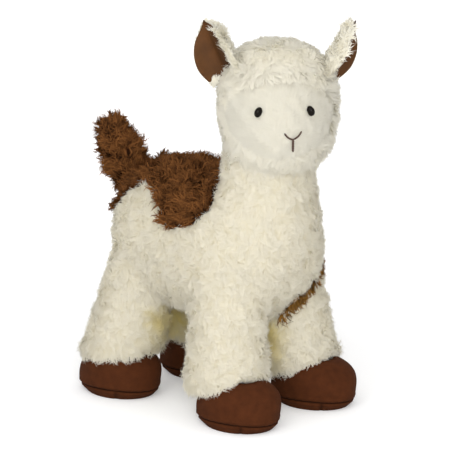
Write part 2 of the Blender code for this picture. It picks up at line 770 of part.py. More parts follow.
def build_tail(workshop, cage, body_space, materials):
    """The tail's pile tube and its stuffing, both cut to sit on the rump."""
    coarse = settled(cage)
    hollow = shrunk(workshop.cutter("tail_hollow", coarse), CURLY_PILE)
    skin = swollen(workshop.part("tail_skin", cage, materials["brown_pile"]))
    cut(skin, hollow, body_space)
    stuffing = shrunk(workshop.part("tail_stuffing", coarse, materials["fibre"]), CURLY_PILE + STUFFING_GAP)
    cut(stuffing, body_space)


# Legs and hooves


def ground_block(workshop, name, place, low, high):
    """A cutter that spans the toy between two heights."""
    return workshop.cutter(name, box_mesh(name, (-BLOCK, -BLOCK, low), (BLOCK, BLOCK, high)), place)


def build_leg(workshop, name, hand, top, ankle, cuff_height, hoof, splay, hoof_form, body_space, materials):
    """One leg: pile tube and stuffing, then the hoof's upper, its sole and its stuffing."""
    cage = leg_cage(name + "_cage", hand, top, ankle, cuff_height)
    hoof_place = Matrix.Translation((hand * hoof[0], hoof[1], 0.0)) @ Matrix.Rotation(hand * splay, 4, "Z")
    coarse = settled(cage)
    hollow = shrunk(workshop.cutter(name + "_hollow", coarse), CURLY_PILE)
    hoof_space = swollen(workshop.cutter(name + "_hoof_space", hoof_form, hoof_place), GAP)
    cuff_place = Matrix.Translation((hand * ankle[0], ankle[1], cuff_height)) @ Matrix.Rotation(-CUFF_SLOPE, 4, "X")
    below_cuff = ground_block(workshop, name + "_below_cuff", cuff_place, -BLOCK, 0.0)

    skin = swollen(workshop.part(name + "_skin", cage, materials["cream_pile"]))
    cut(skin, hollow, body_space, below_cuff, hoof_space)
    stuffing = shrunk(workshop.part(name + "_stuffing", coarse, materials["fibre"]), CURLY_PILE + STUFFING_GAP)
    cut(stuffing, body_space, below_cuff, hoof_space)

    hoof_coarse = settled(hoof_form)
    hoof_hollow = shrunk(workshop.cutter(name + "_hoof_hollow", hoof_coarse, hoof_place), SUEDE)
    under_seam = ground_block(workshop, name + "_under_seam", hoof_place, -BLOCK, SOLE_SEAM_HEIGHT + GAP)
    bpy.ops.mesh.primitive_cylinder_add(vertices=ROUND_STEPS, radius=HOOF_OPENING_RADIUS, depth=HOOF_HEIGHT)
    opening_source = bpy.context.object
    opening_mesh = opening_source.data
    opening_mesh.transform(Matrix.Translation((0.0, 0.0, HOOF_HEIGHT)))
    bpy.data.objects.remove(opening_source)
    opening = workshop.cutter(name + "_hoof_opening", opening_mesh, hoof_place)
    upper = swollen(workshop.part(name + "_hoof_upper", hoof_form, materials["suede"], hoof_place))
    cut(upper, hoof_hollow, under_seam, opening)

    sole_hollow = shrunk(workshop.cutter(name + "_sole_hollow", hoof_coarse, hoof_place), SUEDE)
    cut(sole_hollow, ground_block(workshop, name + "_sole_floor", hoof_place, -BLOCK, SOLE_THICKNESS))
    sole = swollen(workshop.part(name + "_hoof_sole", hoof_form, materials["suede"], hoof_place))
    keep(sole, ground_block(workshop, name + "_sole_slab", hoof_place, 0.0, SOLE_SEAM_HEIGHT))
    cut(sole, sole_hollow)

    wad = workshop.part(name + "_hoof_stuffing", hoof_coarse, materials["fibre"], hoof_place)
    shrunk(wad, SUEDE + STUFFING_GAP)
    cut(wad, ground_block(workshop, name + "_under_wad", hoof_place, -BLOCK, SOLE_THICKNESS + GAP))


def recentre(workshop):
    """Move the toy so that the origin is under the middle of its box."""
    bpy.context.view_layer.update()
    graph = bpy.context.evaluated_depsgraph_get()
    points = []
    for item in workshop.parts.objects:
        evaluated = item.evaluated_get(graph)
        points += [evaluated.matrix_world @ corner.co for corner in evaluated.data.vertices]
    middle_x = (min(point.x for point in points) + max(point.x for point in points)) / 2.0
    middle_y = (min(point.y for point in points) + max(point.y for point in points)) / 2.0
    workshop.root.location = (-middle_x, -middle_y, 0.0)
    bpy.context.view_layer.update()


def main():
    """Build the whole toy."""
    clear_scene()
    workshop = Workshop()
    materials = {
        "cream_pile": new_material("cream_pile", CREAM, 0.95),
        "face_pile": new_material("face_pile", CREAM, 0.90),
        "brown_pile": new_material("brown_pile", BROWN_PILE, 0.90),
        "suede": new_material("suede", SUEDE_BROWN, 0.90),
        "satin": new_material("satin", SATIN_BROWN, 0.45),
        "eye": new_material("eye", EYE_BLACK, 0.08, coat=1.0),
        "washer": new_material("washer", WASHER_WHITE, 0.45),
        "thread": new_material("thread", THREAD_BROWN, 0.60),
        "fibre": new_material("fibre", FIBRE_WHITE, 0.95),
    }
    body = body_cage()
    body_space = swollen(workshop.cutter("body_space", body), GAP)
    build_body(workshop, body, materials)
    build_head(workshop, head_cage(), body, materials)
    build_tail(workshop, tail_cage(), body_space, materials)
    hoof_form = hoof_cage()
    hind_legs = (("right", -1.0, HIND_RIGHT_ANKLE, HIND_RIGHT_HOOF), ("left", 1.0, HIND_LEFT_ANKLE, HIND_LEFT_HOOF))
    for word, hand, hind_ankle, hind_hoof in hind_legs:
        build_leg(workshop, "fore_leg_" + word, hand, FORE_TOP, FORE_ANKLE, FORE_CUFF_Z, FORE_HOOF, FORE_SPLAY,
                  hoof_form, body_space, materials)
        build_leg(workshop, "hind_leg_" + word, hand, HIND_TOP, hind_ankle, HIND_CUFF_Z, hind_hoof, HIND_SPLAY,
                  hoof_form, body_space, materials)
    recentre(workshop)


main()
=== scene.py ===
"""Looks of the plush llama: curly pile, short face pile, suede hooves, satin ears and the stage.

The backing cloth is the skin of all the padded solids together, remeshed, smoothed and swollen by a
cloth run. Every lock of pile grows from it and belongs to the panel that lies nearest to its root.
Lengths are in metres, and colours are linear red, green and blue.
"""

import math

import bmesh
import bpy
import numpy as np
from bpy.props import FloatProperty, FloatVectorProperty, PointerProperty
from mathutils import Matrix, Vector
from mathutils.bvhtree import BVHTree


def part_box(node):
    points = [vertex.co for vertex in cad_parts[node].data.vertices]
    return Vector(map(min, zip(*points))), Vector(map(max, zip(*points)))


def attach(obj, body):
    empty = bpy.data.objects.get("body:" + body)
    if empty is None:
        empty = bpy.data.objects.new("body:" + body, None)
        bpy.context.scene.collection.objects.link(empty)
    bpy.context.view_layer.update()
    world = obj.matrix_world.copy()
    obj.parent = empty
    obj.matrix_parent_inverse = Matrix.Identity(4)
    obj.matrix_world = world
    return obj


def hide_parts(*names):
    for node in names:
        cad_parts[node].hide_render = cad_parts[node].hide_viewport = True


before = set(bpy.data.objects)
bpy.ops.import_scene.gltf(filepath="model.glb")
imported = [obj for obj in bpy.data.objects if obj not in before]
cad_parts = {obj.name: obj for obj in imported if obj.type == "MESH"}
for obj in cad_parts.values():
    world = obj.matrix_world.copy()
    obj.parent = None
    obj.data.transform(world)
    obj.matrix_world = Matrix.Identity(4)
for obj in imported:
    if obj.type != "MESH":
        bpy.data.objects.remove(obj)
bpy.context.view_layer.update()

bl_info = {
    "name": "Plush Llama Looks",
    "version": (1, 0, 0),
    "blender": (4, 5, 0),
    "location": "3D View > Sidebar > Llama",
    "description": "Pile, suede, satin, eyes and stage for the plush llama",
    "category": "Object",
}

LEGS = ("fore_leg_left", "fore_leg_right", "hind_leg_left", "hind_leg_right")
PANELS = (
    "body_side_left",
    "body_side_right",
    "saddle_panel",
    "flank_patch",
    "head_panel",
    "face_panel",
    "tail_skin",
    *(leg + "_skin" for leg in LEGS),
)
STUFFINGS = ("body_stuffing", "head_stuffing", "tail_stuffing", *(leg + "_stuffing" for leg in LEGS))

# Places that the part's source gives. Packing moved the toy by the shift, to centre its box
FORE_HOOF = (0.0440, -0.0700)
SOLE_LOW, SOLE_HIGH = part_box("fore_leg_left_hoof_sole")
SHIFT = np.array([
    (SOLE_LOW.x + SOLE_HIGH.x) / 2 - FORE_HOOF[0],
    (SOLE_LOW.y + SOLE_HIGH.y) / 2 - FORE_HOOF[1],
    0.0,
])
HEAD_CENTRE = np.array([-0.0020, -0.0700, 0.2580]) + SHIFT
HEAD_TURN = math.radians(-39.0)
HEAD_AXES = np.array(Matrix.Rotation(HEAD_TURN, 3, "Z"))
MUZZLE = HEAD_CENTRE + HEAD_AXES @ np.array([0.002, -0.056, -0.016])

SEED = 20
DOWN = np.array([0.0, 0.0, -1.0])
SQUARE_METRE = 10000.0  # in square centimetres

# The backing cloth
VOXEL = 0.003
SMOOTHINGS, LAST_SMOOTHINGS = 14, 2
CLOTH_FRAMES = 20
CLOTH_PRESSURE = 4.0
CLOTH_DIMPLES, DIMPLE_SIZE, DIMPLE_SEED = 0.0004, 0.011, 2

# Wandering of the pile: size of its tufts and of its curls, and the share of the curls in it
BODY_WANDER = (0.016, 0.006, 0.6)
BROWN_WANDER = (0.014, 0.006, 0.8)
HEAD_WANDER = (0.018, 0.007, 0.5)
LIFT_SIZE = 0.02
TAIL_WAY = np.array([0.0, 0.045, 0.066])


def degrees(low, high):
    """Two angles given in degrees."""
    return math.radians(low), math.radians(high)


# How each kind of lock grows: its lean at the root and the tip, its curl and its steps
CREAM_LOCK = {"lean": degrees(52.0, 90.0), "curl": 0.30, "segments": 3}
BROWN_LOCK = {"lean": degrees(14.0, 78.0), "curl": 0.24, "segments": 4, "calm": 0.35}
FLANK_LOCK = {"lean": degrees(36.0, 78.0), "curl": 0.24, "segments": 4, "calm": 0.35}
HEAD_LEAN = degrees(55.0, 89.0)
HEAD_RISE = math.radians(20.0)
FACE_HAIR = {"lean": degrees(50.0, 85.0), "curl": 0.06, "segments": 2}
EAR_FLUFF = {"lean": degrees(58.0, 88.0), "curl": 0.14, "segments": 3}
EAR_FRINGE = {"lean": degrees(55.0, 86.0), "curl": 0.15, "segments": 3}
EAR_NAP = {"lean": degrees(48.0, 84.0), "curl": 0.12, "segments": 3, "calm": 0.80}
HEAD_LOCK_WIDTH = 0.0009
HAIR_WIDTH = 0.0010

# Kinds of pile: the colours of root, tip and a third colour (painted shade where legs and belly hem in the
# cream, real golden brown on the flank), how bright the root is for its colour (a darker root is painted
# shade low in the pile), the contrast between locks, the share of light that passes and the sheen
PILES = {
    "cream_curls": ("cream_root", "cream_tip", "shade", 1.0, 0.07, 0.55, 0.10),
    "brown_curls": ("brown_root", "brown_tip", "gold", 1.0, 0.75, 0.12, 0.0),
    "face_velvet": ("face", "face", "shade", 0.97, 0.03, 0.50, 0.15),
    "head_fleece": ("head", "head", "shade", 0.98, 0.03, 0.52, 0.15),
}


class PileSettings(bpy.types.PropertyGroup):
    """Sizes of the locks that make up the pile."""

    body_length: FloatProperty(
        name="Body lock", description="Length of a lock on the body, neck and legs",
        default=0.0066, min=0.001, max=0.03, unit="LENGTH",
    )
    body_width: FloatProperty(
        name="Body lock width", description="Width of a lock on the body at its root",
        default=0.0010, min=0.0002, max=0.01, unit="LENGTH",
    )
    body_density: FloatProperty(
        name="Body locks", description="Locks on a square centimetre of the body",
        default=108.0, min=1.0, max=300.0,
    )
    head_length: FloatProperty(
        name="Head lock", description="Length of a lock on the back and top of the head",
        default=0.0070, min=0.001, max=0.03, unit="LENGTH",
    )
    head_density: FloatProperty(
        name="Head locks", description="Locks on a square centimetre of the head",
        default=112.0, min=1.0, max=300.0,
    )
    face_length: FloatProperty(
        name="Face hair", description="Length of a hair of the short face pile",
        default=0.0030, min=0.0005, max=0.03, unit="LENGTH",
    )
    face_density: FloatProperty(
        name="Face hairs", description="Hairs on a square centimetre of the face",
        default=170.0, min=1.0, max=400.0,
    )
    saddle_length: FloatProperty(
        name="Brown lock", description="Length of a lock on the saddle, flank and tail",
        default=0.0105, min=0.001, max=0.03, unit="LENGTH",
    )
    saddle_width: FloatProperty(
        name="Brown lock width", description="Width of a brown lock at its root",
        default=0.0014, min=0.0002, max=0.01, unit="LENGTH",
    )
    saddle_density: FloatProperty(
        name="Brown locks", description="Locks on a square centimetre of brown pile",
        default=85.0, min=1.0, max=300.0,
    )
    inset: FloatProperty(
        name="Backing depth", description="How far the backing cloth lies under the solids' surface",
        default=0.0018, min=0.0, max=0.006, unit="LENGTH",
    )
    cloth_cap: FloatProperty(
        name="Swelling", description="The most that the stuffing swells the cloth",
        default=0.0020, min=0.0, max=0.01, unit="LENGTH",
    )


class ColourSettings(bpy.types.PropertyGroup):
    """Colours of the fabrics, as linear red, green and blue."""

    cream_tip: FloatVectorProperty(
        name="Cream tips", description="Tips of the cream pile",
        subtype="COLOR", size=3, default=(0.955, 0.928, 0.838),
    )
    # Darker and yellower than the tips: painted shade low in the pile, on the backing cloth too.
    cream_root: FloatVectorProperty(
        name="Cream roots", description="Roots of the cream pile",
        subtype="COLOR", size=3, default=(0.925, 0.870, 0.705),
    )
    face: FloatVectorProperty(
        name="Face", description="Short pile of the face",
        subtype="COLOR", size=3, default=(0.885, 0.860, 0.774),
    )
    head: FloatVectorProperty(
        name="Head", description="Pile of the head, the forelock and the ears",
        subtype="COLOR", size=3, default=(0.960, 0.935, 0.848),
    )
    # Painted shade: the mustard that cream pile takes where the legs and the belly hem it in.
    shade: FloatVectorProperty(
        name="Cream shade", description="Cream pile in crowded places",
        subtype="COLOR", size=3, default=(0.970, 0.820, 0.290),
    )
    gold: FloatVectorProperty(
        name="Golden brown", description="Brown pile along the flank's edge",
        subtype="COLOR", size=3, default=(0.340, 0.170, 0.035),
    )
    brown_tip: FloatVectorProperty(
        name="Brown tips", description="Tips of the brown pile",
        subtype="COLOR", size=3, default=(0.300, 0.118, 0.034),
    )
    # Far darker than the tips: painted shade low in the pile, on the backing cloth too.
    brown_root: FloatVectorProperty(
        name="Brown roots", description="Roots of the brown pile",
        subtype="COLOR", size=3, default=(0.036, 0.012, 0.004),
    )
    suede: FloatVectorProperty(
        name="Suede", description="Hooves",
        subtype="COLOR", size=3, default=(0.056, 0.0165, 0.0055),
    )
    satin: FloatVectorProperty(
        name="Satin", description="Ear linings",
        subtype="COLOR", size=3, default=(0.084, 0.0315, 0.0070),
    )


class StageSettings(bpy.types.PropertyGroup):
    """Camera and light."""

    azimuth: FloatProperty(
        name="Azimuth", description="Camera's turn round the toy",
        default=math.radians(-45.4), subtype="ANGLE",
    )
    elevation: FloatProperty(
        name="Elevation", description="Camera's height angle",
        default=math.radians(14.0), subtype="ANGLE",
    )
    distance: FloatProperty(
        name="Distance", description="Camera to the toy's middle",
        default=2.684, unit="LENGTH",
    )
    lens: FloatProperty(
        name="Lens", description="Focal length in millimetres",
        default=262.5,
    )
    key_power: FloatProperty(
        name="Key lamp", description="Power of the large soft lamp",
        default=8.6, unit="POWER",
    )
    fill_power: FloatProperty(
        name="Fill lamp", description="Power of the weaker lamp",
        default=12.0, unit="POWER",
    )
    sky: FloatProperty(
        name="Surrounding light", description="Strength of the light from all round",
        default=0.80,
    )


# Numbers and arrays


def unit(vectors):
    """Each vector divided by its length."""
    return vectors / np.maximum(np.linalg.norm(vectors, axis=-1, keepdims=True), 1e-12)


def smooth_step(values, low, high):
    """0 below low, 1 above high, and 3t^2 - 2t^3 between them."""
    share = np.clip((values - low) / (high - low), 0.0, 1.0)
    return share * share * (3.0 - 2.0 * share)


def ripple(points, wavelength, seed, waves=7):
    """A smooth wandering vector: for each axis, the mean of sine waves in random directions."""
    rng = np.random.default_rng(seed)
    total = np.zeros((len(points), 3))
    for axis in range(3):
        for _ in range(waves):
            direction = unit(rng.normal(size=3)) * (2.0 * math.pi / wavelength) * rng.uniform(0.7, 1.4)
            total[:, axis] += np.sin(points @ direction + rng.uniform(0.0, 2.0 * math.pi))
    return total * math.sqrt(2.0 / waves)


def flattened(vectors, normals):
    """The vectors with their part along the normals taken away, at unit length."""
    return unit(vectors - normals * np.sum(vectors * normals, axis=1, keepdims=True))


def read(items, label, width, kind=float):
    """One property of all the items of a mesh, as an array with so many columns."""
    flat = np.empty(len(items) * width, kind)
    items.foreach_get(label, flat)
    return flat.reshape(-1, width)


def corners_of(mesh):
    """A mesh's vertices as an array."""
    return read(mesh.vertices, "co", 3)


def normals_of(mesh):
    """A mesh's vertex normals as an array."""
    return read(mesh.vertices, "normal", 3)


def move_corners(mesh, vertices):
    """Put a mesh's vertices at new places."""
    mesh.vertices.foreach_set("co", vertices.astype(np.float32).ravel())
    mesh.update()


def new_mesh(name, vertices, faces, attributes):
    """A mesh from an array of vertices and arrays of faces of three or four corners.

    The attribute called soft holds a normal for each vertex, which the shading follows instead of
    the facets. The others are numbers that the materials read.
    """
    mesh = bpy.data.meshes.new(name)
    corners = np.concatenate([block.ravel() for block in faces]).astype(np.int32)
    sizes = np.concatenate([np.full(len(block), block.shape[1]) for block in faces]).astype(np.int32)
    starts = np.concatenate([[0], np.cumsum(sizes)[:-1]]).astype(np.int32)
    mesh.vertices.add(len(vertices))
    mesh.loops.add(len(corners))
    mesh.polygons.add(len(sizes))
    mesh.vertices.foreach_set("co", vertices.astype(np.float32).ravel())
    mesh.loops.foreach_set("vertex_index", corners)
    mesh.polygons.foreach_set("loop_start", starts)
    mesh.update(calc_edges=True)
    mesh.polygons.foreach_set("use_smooth", np.ones(len(sizes), bool))
    for label, values in attributes.items():
        if label != "soft":
            layer = mesh.attributes.new(label, "FLOAT", "POINT")
            layer.data.foreach_set("value", values.astype(np.float32))
    mesh.validate()
    if "soft" in attributes:
        mesh.normals_split_custom_set_from_vertices(attributes["soft"].astype(np.float32))
    return mesh


def new_piece(name, mesh, material, replaced):
    """An object at the origin that rides on the toy, stands for CAD nodes and has its finish."""
    piece = bpy.data.objects.new(name, mesh)
    bpy.context.scene.collection.objects.link(piece)
    mesh.materials.clear()
    mesh.materials.append(material)
    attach(piece, "root")
    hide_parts(*replaced)
    return piece


def grid_faces(rows, columns, closed):
    """Quads of a grid of rows by columns, whose columns run round when it is closed."""
    row = np.arange(rows - 1)[:, None]
    column = np.arange(columns if closed else columns - 1)[None, :]
    following = (column + 1) % columns
    first = row * columns + column
    second = row * columns + following
    third = (row + 1) * columns + following
    fourth = (row + 1) * columns + column
    return np.stack([first, second, third, fourth], axis=-1).reshape(-1, 4)


# Materials


class Wire:
    """A socket that takes part in Python arithmetic. Each operation adds the Math node that does it."""

    def __init__(self, finish, socket):
        self.finish = finish
        self.socket = socket

    def _math(self, operation, first, second):
        return self.finish.node("ShaderNodeMath", {"operation": operation}, {0: first, 1: second})

    def __add__(self, other):
        return self._math("ADD", self, other)

    def __radd__(self, other):
        return self._math("ADD", other, self)

    def __sub__(self, other):
        return self._math("SUBTRACT", self, other)

    def __rsub__(self, other):
        return self._math("SUBTRACT", other, self)

    def __mul__(self, other):
        return self._math("MULTIPLY", self, other)

    def __rmul__(self, other):
        return self._math("MULTIPLY", other, self)

    def __pow__(self, other):
        return self._math("POWER", self, other)


class Finish:
    """A material and the nodes that make it."""

    def __init__(self, name, roughness, **constants):
        self.material = bpy.data.materials.new(name)
        self.material.use_nodes = True
        self.tree = self.material.node_tree
        self.shader = self.tree.nodes["Principled BSDF"]
        self.shader.inputs["Roughness"].default_value = roughness
        for label, value in constants.items():
            self.shader.inputs[label.replace("_", " ")].default_value = value

    def node(self, kind, settings=None, inputs=None, output=0):
        """Any node: its type, its settings, and the values or wires of its sockets."""
        made = self.tree.nodes.new(kind)
        for label, value in (settings or {}).items():
            setattr(made, label, value)
        for label, value in (inputs or {}).items():
            self.feed(made.inputs[label], value)
        return Wire(self, made.outputs[output])

    def feed(self, socket, value):
        """Set a socket to a number or colour, or link a wire to it."""
        if isinstance(value, Wire):
            self.tree.links.new(value.socket, socket)
        elif isinstance(value, (tuple, list)) and len(value) == 3 and socket.type == "RGBA":
            socket.default_value = (*value, 1.0)
        else:
            socket.default_value = value

    def places(self):
        """The place on the object."""
        return self.node("ShaderNodeTexCoord", output="Object")

    def noise(self, scale, detail=2.0, vector=None, output="Fac"):
        """Noise of so many cells to a metre."""
        inputs = {"Vector": vector or self.places(), "Scale": scale, "Detail": detail}
        return self.node("ShaderNodeTexNoise", {}, inputs, output)

    def attribute(self, name):
        """A number that the mesh carries at each vertex."""
        return self.node("ShaderNodeAttribute", {"attribute_name": name}, output="Fac")

    def mix(self, factor, first, second, blend="MIX"):
        """Two colours mixed by a factor."""
        return self.node("ShaderNodeMix", {"data_type": "RGBA", "blend_type": blend},
                         {"Factor": factor, 6: first, 7: second}, 2)

    def bump(self, height, distance, strength=1.0):
        """A normal raised by a height."""
        inputs = {"Height": height, "Distance": distance, "Strength": strength}
        return self.node("ShaderNodeBump", {}, inputs, "Normal")

    def set(self, label, value):
        """Feed one of the shader's own sockets."""
        self.feed(self.shader.inputs[label], value)

    def mottle(self, scale, detail, dark, light, distance=0.0, strength=0.0):
        """Two colours mixed by noise, which raises the surface too where a distance is given."""
        tone = self.noise(scale, detail)
        self.set("Base Color", self.mix(tone, dark, light))
        if distance:
            self.set("Normal", self.bump(tone, distance, strength))
        return tone

    def see_through(self, colour, share):
        """Let a share of the light through, as thin hair does."""
        passing = self.tree.nodes.new("ShaderNodeBsdfTranslucent")
        passing.inputs["Color"].default_value = (*colour, 1.0)
        mix = self.tree.nodes.new("ShaderNodeMixShader")
        mix.inputs["Fac"].default_value = share
        self.tree.links.new(self.shader.outputs["BSDF"], mix.inputs[1])
        self.tree.links.new(passing.outputs["BSDF"], mix.inputs[2])
        self.tree.links.new(mix.outputs["Shader"], self.tree.nodes["Material Output"].inputs["Surface"])


def pile_finish(name, root, tip, contrast, share, shade_gold_colour, sheen):
    """Pile: from the root's colour to the tip's along each lock, each lock a little lighter or darker.

    The darker root colour, which the backing cloth takes too, is painted shade low in the pile and in
    the gaps between locks. Where its share is high, the colour goes to the third colour: painted
    shade, mustard, where legs and belly hem in the cream, and real golden brown on the flank. A share
    of the light passes through the hairs.
    """
    finish = Finish(name, 0.85, Sheen_Weight=sheen, Sheen_Roughness=0.6, Specular_IOR_Level=0.08)
    along = finish.attribute("along")
    tint = finish.attribute("tint")
    blotch = finish.noise(55.0, 3.0)
    # Painted shade: the root colour darker than the tip's, and the third colour where its share is high,
    # which on cream is shade and on the flank real golden brown.
    strand = finish.mix(finish.attribute("crowded"), finish.mix(along ** 0.7, root, tip), shade_gold_colour)
    shade = 1.0 - contrast * (1.0 - tint) - (blotch - 0.5) * contrast * 0.5
    grey = finish.node("ShaderNodeCombineColor", {}, {0: shade, 1: shade, 2: shade})
    finish.set("Base Color", finish.mix(1.0, strand, grey, "MULTIPLY"))
    finish.see_through(tip, share)
    return finish.material


# The stuffed form


class Form:
    """The closed surface of the backing cloth, as arrays, with the panel that each place belongs to."""

    def __init__(self, mesh, panels):
        self.vertices = corners_of(mesh)
        self.normals = normals_of(mesh)
        mesh.calc_loop_triangles()
        self.triangles = read(mesh.loop_triangles, "vertices", 3, np.int32)
        self.panels = panels
        self.face_panel = panels.nearest(self.vertices[self.triangles].mean(axis=1))

    def scatter(self, density, seed):
        """Roots spread evenly by area: the cumulated area is cut into equal steps, one root in each."""
        first, second, third = (self.vertices[self.triangles[:, corner]] for corner in range(3))
        area = 0.5 * np.linalg.norm(np.cross(second - first, third - first), axis=1)
        total = np.cumsum(area)
        count = int(total[-1] * density)
        rng = np.random.default_rng(seed)
        picks = np.searchsorted(total, (np.arange(count) + rng.random(count)) / count * total[-1])
        picks = np.minimum(picks, len(area) - 1)
        across, along = rng.random((2, count))
        over = across + along > 1.0
        across[over], along[over] = 1.0 - across[over], 1.0 - along[over]
        weights = np.stack([1.0 - across - along, across, along], axis=1)[:, :, None]
        roots = (self.vertices[self.triangles[picks]] * weights).sum(axis=1)
        normals = unit((self.normals[self.triangles[picks]] * weights).sum(axis=1))
        return roots, normals


class Panels:
    """The CAD panels, to ask which of them lies nearest to a place."""

    def __init__(self, names):
        self.names = names
        vertices, triangles, owners, start = [], [], [], 0
        for index, name in enumerate(names):
            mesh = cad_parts[name].data
            mesh.calc_loop_triangles()
            own = np.array([list(triangle.vertices) for triangle in mesh.loop_triangles])
            vertices.append(corners_of(mesh))
            triangles.append(own + start)
            owners.append(np.full(len(own), index))
            start += len(mesh.vertices)
        self.owner = np.concatenate(owners)
        self.tree = BVHTree.FromPolygons(
            np.concatenate(vertices).tolist(), np.concatenate(triangles).tolist())

    def nearest(self, points):
        """For each point, the index of its nearest panel."""
        find = self.tree.find_nearest
        return self.owner[[find(point)[2] for point in points.tolist()]]


def smoothed(vertices, edges, rounds, share=0.5):
    """Each vertex moved a share of the way to the mean of its neighbours, for so many rounds."""
    first, second = edges.T
    count = len(vertices)
    degree = np.maximum(np.bincount(first, minlength=count) + np.bincount(second, minlength=count), 1)
    for _ in range(rounds):
        mean = np.stack([
            np.bincount(first, vertices[second, axis], count)
            + np.bincount(second, vertices[first, axis], count)
            for axis in range(3)
        ], axis=1) / degree[:, None]
        vertices = vertices + share * (mean - vertices)
    return vertices


def edges_of(mesh):
    """A mesh's edges as an array."""
    return read(mesh.edges, "vertices", 2, np.int32)


def swell(form, frames, pressure, cap):
    """Cloth under pressure from inside, with each vertex held to within the cap of where it began."""
    start = corners_of(form.data)
    cloth = form.modifiers.new("stuffing", "CLOTH")
    cloth.settings.use_pressure = True
    cloth.settings.uniform_pressure_force = pressure
    cloth.settings.effector_weights.gravity = 0.0
    cloth.settings.quality = 4
    cloth.point_cache.frame_start = 1
    cloth.point_cache.frame_end = frames
    for number in range(1, frames + 1):
        bpy.context.scene.frame_set(number)
    swollen = corners_of(form.evaluated_get(bpy.context.evaluated_depsgraph_get()).data)
    form.modifiers.remove(cloth)
    bpy.context.scene.frame_set(1)
    moved = swollen - start
    far = np.linalg.norm(moved, axis=1, keepdims=True)
    settled = start + moved * np.minimum(1.0, cap / np.maximum(far, 1e-9))
    move_corners(form.data, settled)


def stuffed_form(settings):
    """All the padded solids as one skin: joined, remeshed, smoothed, swollen and sunk by the inset.

    The inset is a little less or more from place to place, by a ripple, so that the cloth is dimpled.
    """
    work = bmesh.new()
    for name in (*PANELS, *STUFFINGS):
        work.from_mesh(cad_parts[name].data)
    bmesh.ops.remove_doubles(work, verts=work.verts, dist=0.00001)
    mesh = bpy.data.meshes.new("stuffed_form")
    work.to_mesh(mesh)
    work.free()
    form = bpy.data.objects.new("stuffed_form", mesh)
    bpy.context.scene.collection.objects.link(form)
    remesh = form.modifiers.new("skin", "REMESH")
    remesh.mode = "VOXEL"
    remesh.voxel_size = VOXEL
    skin = bpy.data.meshes.new_from_object(form.evaluated_get(bpy.context.evaluated_depsgraph_get()))
    form.modifiers.clear()
    form.data = skin
    move_corners(skin, smoothed(corners_of(skin), edges_of(skin), SMOOTHINGS))
    swell(form, CLOTH_FRAMES, CLOTH_PRESSURE, settings.cloth_cap)
    calm = smoothed(corners_of(skin), edges_of(skin), LAST_SMOOTHINGS)
    depth = settings.inset - CLOTH_DIMPLES * ripple(calm, DIMPLE_SIZE, DIMPLE_SEED)[:, :1]
    move_corners(skin, calm - normals_of(skin) * depth)
    made = Form(skin, Panels(PANELS))
    bpy.data.objects.remove(form)
    bpy.data.meshes.remove(mesh)
    return made


# Locks of pile


def grow(roots, normals, comb, length, width, lean, curl, segments, seed, calm=0.93, crowded=0.0):
    """Locks of pile, as vertices, faces and attributes.

    A lock leaves its root leaning from the normal towards its comb direction. The lean rises evenly
    from lean[0] to lean[1] along it, and the path is the sum of the steps. A sine sideways and a
    cosine upwards, which grow with the distance from the root, curl it. A lock is a ribbon whose
    width falls to nothing at the tip. Calm is how far its shading follows the cloth under it rather
    than the lock itself.
    """
    rng = np.random.default_rng(seed)
    count = len(roots)
    length = np.broadcast_to(length, count) * rng.uniform(0.72, 1.22, count)
    width = np.broadcast_to(width, count) * rng.uniform(0.7, 1.3, count)
    share = np.linspace(0.0, 1.0, segments + 1)
    spread = rng.normal(0.0, 0.12, count)[:, None]
    angle = lean[0] + (lean[1] - lean[0]) * share[None, :] + spread
    out, over = normals[:, None, :], comb[:, None, :]
    heading = np.cos(angle)[..., None] * out + np.sin(angle)[..., None] * over
    steps = heading[:, :-1] * (length / segments)[:, None, None]
    run = np.concatenate([np.zeros((count, 1, 3)), np.cumsum(steps, axis=1)], axis=1)
    path = roots[:, None, :] + run
    side = unit(np.cross(normals, comb))
    phase = rng.uniform(0.0, 2.0 * math.pi, count)[:, None]
    turns = rng.uniform(0.7, 1.3, count)[:, None] * 2.0 * math.pi
    swing = curl * length[:, None] * share[None, :]
    path += (swing * np.sin(turns * share[None, :] + phase))[..., None] * side[:, None, :]
    path += (0.5 * swing * np.cos(turns * share[None, :] + phase))[..., None] * out
    tangent = unit(np.gradient(path, axis=1))
    twist = rng.normal(0.0, 0.35, count)[:, None, None]
    across = unit(np.cross(out, tangent) + twist * out)
    across = unit(across - tangent * np.sum(across * tangent, axis=2, keepdims=True))
    above = np.cross(tangent, across)
    taper = (1.0 - share[None, :] ** 1.8) * (0.8 + 0.8 * share[None, :] * (1.0 - share[None, :]))
    half = 0.5 * width[:, None] * taper
    rim = path[:, :-1]
    left = rim - across[:, :-1] * half[:, :-1, None]
    right = rim + across[:, :-1] * half[:, :-1, None]
    edges = np.stack([left, right], axis=2).reshape(count, -1, 3)
    vertices = np.concatenate([edges, path[:, -1:]], axis=1)
    each = vertices.shape[1]
    rung = 2 * np.arange(segments - 1)[:, None]
    quads = rung + np.array([[0, 2, 3, 1]])
    tip = np.array([[each - 3, each - 1, each - 2]])
    starts = (np.arange(count) * each)[:, None, None]
    faces = [(block[None] + starts).reshape(-1, block.shape[1]) for block in (quads, tip)]
    along = np.concatenate([np.repeat(share[:-1], 2), [1.0]])
    facing = np.concatenate([np.repeat(above[:, :-1], 2, axis=1), above[:, -1:]], axis=1)
    soft = unit((1.0 - calm) * facing + calm * out)
    # The share of the third colour: painted shade on cream locks, real golden brown on the flank's.
    return vertices.reshape(-1, 3), faces, {
        "along": np.tile(along, count),
        "tint": np.repeat(rng.random(count), each),
        "crowded": np.repeat(np.broadcast_to(crowded, count), each),
        "soft": soft.reshape(-1, 3),
    }


